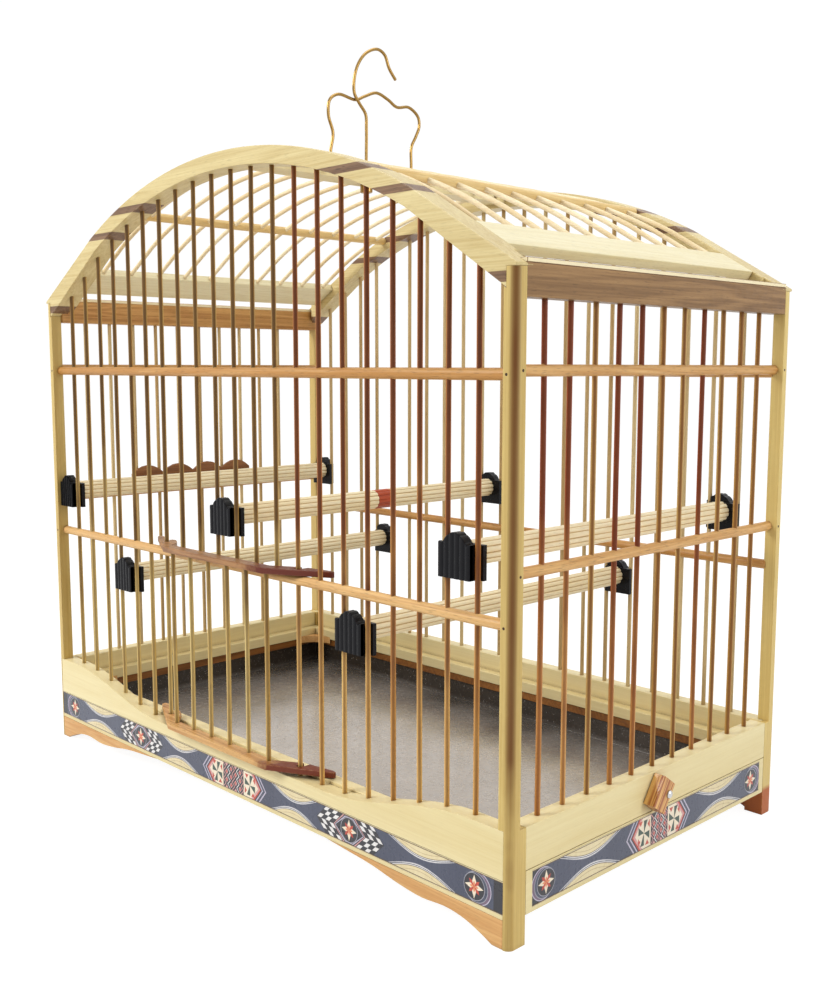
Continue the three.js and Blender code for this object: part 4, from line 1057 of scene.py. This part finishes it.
class Marquetry:
    """A strip of veneer chips, drawn along U from its middle and up V from its lower edge."""

    groove_deep, ground_deep, leaf, glued = 1.25, 0.17, 0.018, 0.1

    def __init__(self, high, place):
        self.high, self.place, self.stock = high, place, Stock()
        self.shades = list(VENEERS)

    def chip(self, outline, layer, shade, deep=None):
        """A chip of the layer that is this many leaves over the ground."""
        top = self.ground_deep - self.leaf * layer
        bottom = deep or self.ground_deep + self.glued
        rings = [[self.place(u, v, depth) for u, v in outline] for depth in (bottom, top)]
        self.stock.loft(rings, self.shades.index(shade))

    def mirrored(self, outline, top, layer, shade):
        """A chip drawn from the lower edge. For the top it is turned over to the upper edge."""
        self.chip([(u, self.high - v) if top else (u, v) for u, v in outline], layer, shade)

    def ground(self, half, shade, layer=0):
        """A sheet over the strip's whole height. The lowest one fills the groove."""
        corners = rectangle(-half, half, 0, self.high)
        self.chip(corners, layer, shade, None if layer else self.groove_deep)

    def disc(self, u, radius, layer, shade):
        """A disc in the middle of the height, cut off just inside the strip's edges."""
        sides, rim = 48, 0.15
        turns = [2 * math.pi * i / sides for i in range(sides)]
        middle = self.high / 2
        reach = middle - rim
        self.chip([(u + radius * math.cos(t), middle + max(-reach, min(reach, radius * math.sin(t))))
                   for t in turns], layer, shade)

    def star(self, u, outer_side=0):
        """An eight-pointed star in a ring. At the end of a strip, more rings lie behind it."""
        rings = ((8.6, 2.6, 2, "lilac"), (8.1, 2.6, 3, "purple"),
                 (7.9, 1.2, 4, "grey"), (7.5, 1.2, 5, "slate"))
        for radius, shift, layer, shade in rings if outer_side else ():
            self.disc(u + outer_side * shift, radius, layer, shade)
        self.disc(u, 7.1, 6, "grey")
        self.disc(u, 6.7, 7, "charcoal")

        def petal(angle, reach, wide, where, layer, shade):
            spot = turned(u, self.high / 2, angle)
            kite = [(0, 0), (where * reach, -wide), (reach, 0), (where * reach, wide)]
            self.chip([spot(*corner) for corner in kite], layer, shade)

        for quarter in range(4):
            angle = math.pi / 2 * quarter
            petal(angle + math.pi / 4, 4.9, 1.25, 0.5, 8, "red")
            petal(angle, 6.2, 1.35, 0.42, 8.5, "bone")
            petal(angle, 3.0, 0.75, 0.5, 9, "orange")

    def hexagon(self, u, half, slant, inset, layer, shade):
        """A hexagon with a tip at each end, as high as the strip less its inset."""
        low, high, middle = inset, self.high - inset, self.high / 2
        flat = half - slant
        self.chip([(u - half, middle), (u - flat, low), (u + flat, low), (u + half, middle),
                   (u + flat, high), (u - flat, high)], layer, shade)

    def star_hexagon(self, u):
        """A star in a hexagon, between two fields of chevron checks."""
        half, slant, columns, rows, wide = 13.2, 8.7, 4, 6, 3.5
        edge, seam = 0.35, 0.15
        self.hexagon(u, half + columns * wide + 1, slant, edge, 1, "charcoal")

        def corner(away, row):
            v = edge + (self.high - 2 * edge) * row / rows
            return u + side * (half - slant * abs(2 * v / self.high - 1) + 0.4 + away), v

        checks = [(column, row) for column in range(columns) for row in range(column % 2, rows, 2)]
        for side in (-1, 1):
            for column, row in checks:
                sides = rectangle(column * wide + seam, (column + 1) * wide - seam, row + 0.06, row + 0.94)
                self.chip([corner(*place) for place in sides], 2, "white")
        for step, shade in enumerate(("pink", "charcoal", "lilac", "charcoal")):
            self.hexagon(u, half - 0.55 * step, slant, edge + 0.45 * step, 3 + 0.5 * step, shade)
        self.star(u)

    def medallion(self, half=33.5, slant=7):
        """Nested hexagons around two pinwheels and a lattice of zigzags."""
        bands = (("lilac", 0, 0.2), ("slate", 1.1, 0.2), ("lilac", 3.1, 0.2), ("charcoal", 4.2, 0.2),
                 ("red", 5.3, 0.2), ("pink", 6.2, 0.8), ("bone", 8, 0.8))
        for layer, (shade, inwards, inset) in enumerate(bands):
            self.hexagon(0, half - inwards, slant, inset, 1 + 0.5 * layer, shade)
        for side in (-1, 1):
            self.pinwheel(side * (half - 16.3))
        self.lattice(half - 22.8)

    def pinwheel(self, u):
        """Four green blades, each with a small red one behind its tip."""
        tall, wide = self.high * 0.37, 5.2
        green, red = ((0, 0), (1, -0.62), (1, 0.05)), ((1.02, 0.25), (1.02, 0.95), (0.62, 0.62))
        for quarter, (reach, broad) in enumerate(((wide, tall), (tall, wide)) * 2):
            spot = turned(u, self.high / 2, math.pi / 2 * quarter)
            for blade, shade in ((green, "green"), (red, "red")):
                self.chip([spot(reach * along, across * broad) for along, across in blade], 5, shade)

    def lattice(self, half):
        """White and pink zigzag lines up the strip, with small diamonds between them."""
        edge, lines, waves, sway, thick = 0.8, 5, 3, 1.3, 0.75
        self.chip(rectangle(-half, half, edge, self.high - edge), 5, "charcoal")
        pitch = 2 * (half - sway) / (lines - 1)
        rise = (self.high - 2 * edge) / (2 * waves)
        for line in range(lines):
            u = -half + sway + pitch * line
            lean = 1 if line % 2 else -1
            bends = [(u + lean * sway * (-1) ** k, edge + rise * k) for k in range(2 * waves + 1)]
            shade = "white" if line % 2 else "pink"
            for (u0, v0), (u1, v1) in zip(bends, bends[1:]):
                self.chip([(u0 - thick / 2, v0), (u0 + thick / 2, v0), (u1 + thick / 2, v1),
                           (u1 - thick / 2, v1)], 6, shade)
        for gap in range(lines - 1):
            u = -half + sway + pitch * (gap + 0.5)
            for wave in range(waves + 1):
                v = edge + rise * (2 * wave + gap % 2)
                for size, layer, shade in ((1.0, 7, "pink"), (0.55, 8, "red")):
                    self.diamond(u, v, 1.5 * size, 1.9 * size, edge, layer, shade)

    def diamond(self, u, v, wide, tall, edge, layer, shade):
        """A diamond, or what lies of it between the edges if that is more than a half."""
        low, high = max(edge, v - tall), min(self.high - edge, v + tall)
        if high - low <= tall:
            return
        tips = [(u, low), (u + wide, v), (u, high)]
        if not low < v < high:
            tips = [(u, low if v > low else high), (u + wide, v)]
        self.chip([(u - wide, v), *tips], layer, shade)

    def lens(self, from_u, to_u, top):
        """A striped, bulging field along one edge of the strip."""
        middle, half = (from_u + to_u) / 2, (to_u - from_u) / 2
        rise, steps, least = 0.41 * self.high, 28, 0.05
        bands = (("grey", 1.0, 1.0), ("white", 0.955, 1.0), ("slate", 0.89, 0.98), ("white", 0.83, 0.86),
                 ("brown", 0.77, 0.82), ("cream", 0.72, 0.8), ("tan", 0.5, 0.62), ("cream", 0.46, 0.6))
        for layer, (shade, high, long) in enumerate(bands):
            fullness = 0.62 if layer < 3 else 0.5
            outline = [(middle + half * long, 0), (middle - half * long, 0)]
            for i in range(steps + 1):
                share = 2 * i / steps - 1
                lift = (0.5 + 0.5 * math.cos(math.pi * share)) ** fullness
                outline.append((middle + half * long * share, max(least, rise * high * lift)))
            self.mirrored(outline, top, 1 + 0.6 * layer, shade)

    def edge_lines(self, half):
        """A cream and a brown line along each edge."""
        for top in (False, True):
            for shade, high, layer in (("brown", 0.85, 6.5), ("cream", 0.4, 7)):
                self.mirrored(rectangle(-half, half, 0, high), top, layer, shade)


def long_strip(half, high, place):
    """The strip of the front and of the back."""
    strip = Marquetry(high, place)
    strip.ground(half, "charcoal")
    strip.ground(half - 6, "slate", layer=0.5)
    for side in (-1, 1):
        for near, far in ((36, 84), (137, 193)):
            for top in (False, True):
                strip.lens(*sorted((side * near, side * far)), top)
    strip.edge_lines(half)
    for side in (-1, 1):
        strip.star_hexagon(side * 109)
        strip.star(side * 202.4, side)
    strip.medallion()
    return strip.stock


def short_strip(half, high, place):
    """The strip of the left side and of the tray."""
    strip = Marquetry(high, place)
    strip.ground(half, "charcoal")
    strip.ground(half - 5, "slate", layer=0.5)
    for side in (-1, 1):
        for top in (False, True):
            strip.lens(*sorted((side * 33, side * 91)), top)
        strip.star(side * (half - 10.5), side)
    strip.edge_lines(half)
    strip.medallion(31)
    return strip.stock


def add_marquetry():
    """The four strips, each laid out on its own side of the cage."""
    woods = list(veneers.values())
    low, high = span("front_inlay")[2]
    tray_low, tray_high = span("tray_inlay")[2]
    long_half, left_half, tray_half = (span(node)[axis][1] for node, axis in
                                       (("front_inlay", 0), ("left_inlay", 1), ("tray_inlay", 1)))
    strips = {
        "front": long_strip(long_half, high - low, lambda u, v, deep: (u, deep - HALF_Y, low + v)),
        "back": long_strip(long_half, high - low, lambda u, v, deep: (-u, HALF_Y - deep, low + v)),
        "left": short_strip(left_half, high - low, lambda u, v, deep: (deep - HALF_X, -u, low + v)),
        "tray": short_strip(tray_half, tray_high - tray_low,
                            lambda u, v, deep: (HALF_X - deep, u, tray_low + v)),
    }
    for name, stock in strips.items():
        body = "tray" if name == "tray" else "cage"
        make(name + "_marquetry", stock, woods, body, [name + "_inlay"], smooth=1)


# --- floor, light and camera -----------------------------------------------------------------


def add_floor():
    """A white floor just under the feet, which glows a little where it is looked at."""
    half, below = 4.0, 0.0003
    white, glowing, glow_share = (0.85, 0.85, 0.85, 1), 1.24, 0.75
    mesh = bpy.data.meshes.new("studio_floor")
    corners = [(x, y, -below) for x, y in rectangle(-half, half, -half, half)]
    mesh.from_pydata(corners, [], [(0, 1, 2, 3)])
    floor = bpy.data.objects.new("studio_floor", mesh)
    bpy.context.scene.collection.objects.link(floor)
    material = bpy.data.materials.new("studio_white")
    material.use_nodes = True
    recipe = Recipe(material.node_tree)
    recipe.tree.nodes.clear()
    paint = recipe.node("ShaderNodeBsdfDiffuse", {"Color": white})
    glow = recipe.node("ShaderNodeEmission", {"Color": (1, 1, 1, 1), "Strength": glowing})
    seen = recipe.times(seen_directly(recipe), glow_share)
    blend = recipe.node("ShaderNodeMixShader", {0: seen, 1: paint.outputs[0], 2: glow.outputs[0]})
    recipe.node("ShaderNodeOutputMaterial", {0: blend.outputs[0]})
    mesh.materials.append(material)


def seen_directly(recipe):
    """1 for rays from the camera, a gloss or a clear piece, and 0 for those that carry light."""
    path = recipe.node("ShaderNodeLightPath").outputs
    mirrored = recipe.math("MAXIMUM", path["Is Glossy Ray"], path["Is Transmission Ray"])
    return recipe.math("MAXIMUM", path["Is Camera Ray"], mirrored)


def add_light():
    """A white sky, which is brighter to look at than it lights, and three soft lamps."""
    sky_lights, sky_looks = 0.42, 1.02
    aim = Vector((0, 0, 0.2))
    world = bpy.data.worlds.new("studio")
    bpy.context.scene.world = world
    world.use_nodes = True
    recipe = Recipe(world.node_tree)
    recipe.tree.nodes.clear()
    strength = recipe.spread(seen_directly(recipe), 0, 1, sky_lights, sky_looks)
    sky = recipe.node("ShaderNodeBackground", {"Color": (1, 1, 1, 1), "Strength": strength})
    recipe.node("ShaderNodeOutputWorld", {0: sky.outputs[0]})
    lamps = (("key", (-0.9, -1.6, 1.4), 0.9, 31), ("side", (1.9, 0.5, 0.9), 1.0, 14),
             ("top", (0.1, 0.3, 2.2), 1.4, 17))
    for name, place, size, power in lamps:
        data = bpy.data.lights.new(name, "AREA")
        data.size, data.energy = size, power
        lamp = bpy.data.objects.new(name, data)
        lamp.location = place
        lamp.rotation_euler = (aim - Vector(place)).to_track_quat("-Z", "Y").to_euler()
        bpy.context.scene.collection.objects.link(lamp)


def add_camera():
    """The camera that was fitted to the photograph's straight edges."""
    data = bpy.data.cameras.new("camera")
    data.sensor_width, data.lens = 36, 40.4
    data.shift_x, data.shift_y = 0.0003, 0.0024
    data.clip_start, data.clip_end = 0.01, 50
    camera = bpy.data.objects.new("camera", data)
    camera.location = (0.5520, -0.5068, 0.2782)
    camera.rotation_euler = (1.45038844, -0.00150965, 0.7982801)
    bpy.context.scene.collection.objects.link(camera)
    bpy.context.scene.camera = camera


for step in (add_boards, add_top_rails, add_corner_blocks, add_brads, add_walls, add_roof_rods,
             add_perches, add_clips, add_hanger, add_door, add_tray, add_turn_button, add_marquetry,
             add_floor, add_light, add_camera):
    step()
bpy.context.scene.view_settings.view_transform = "Standard"
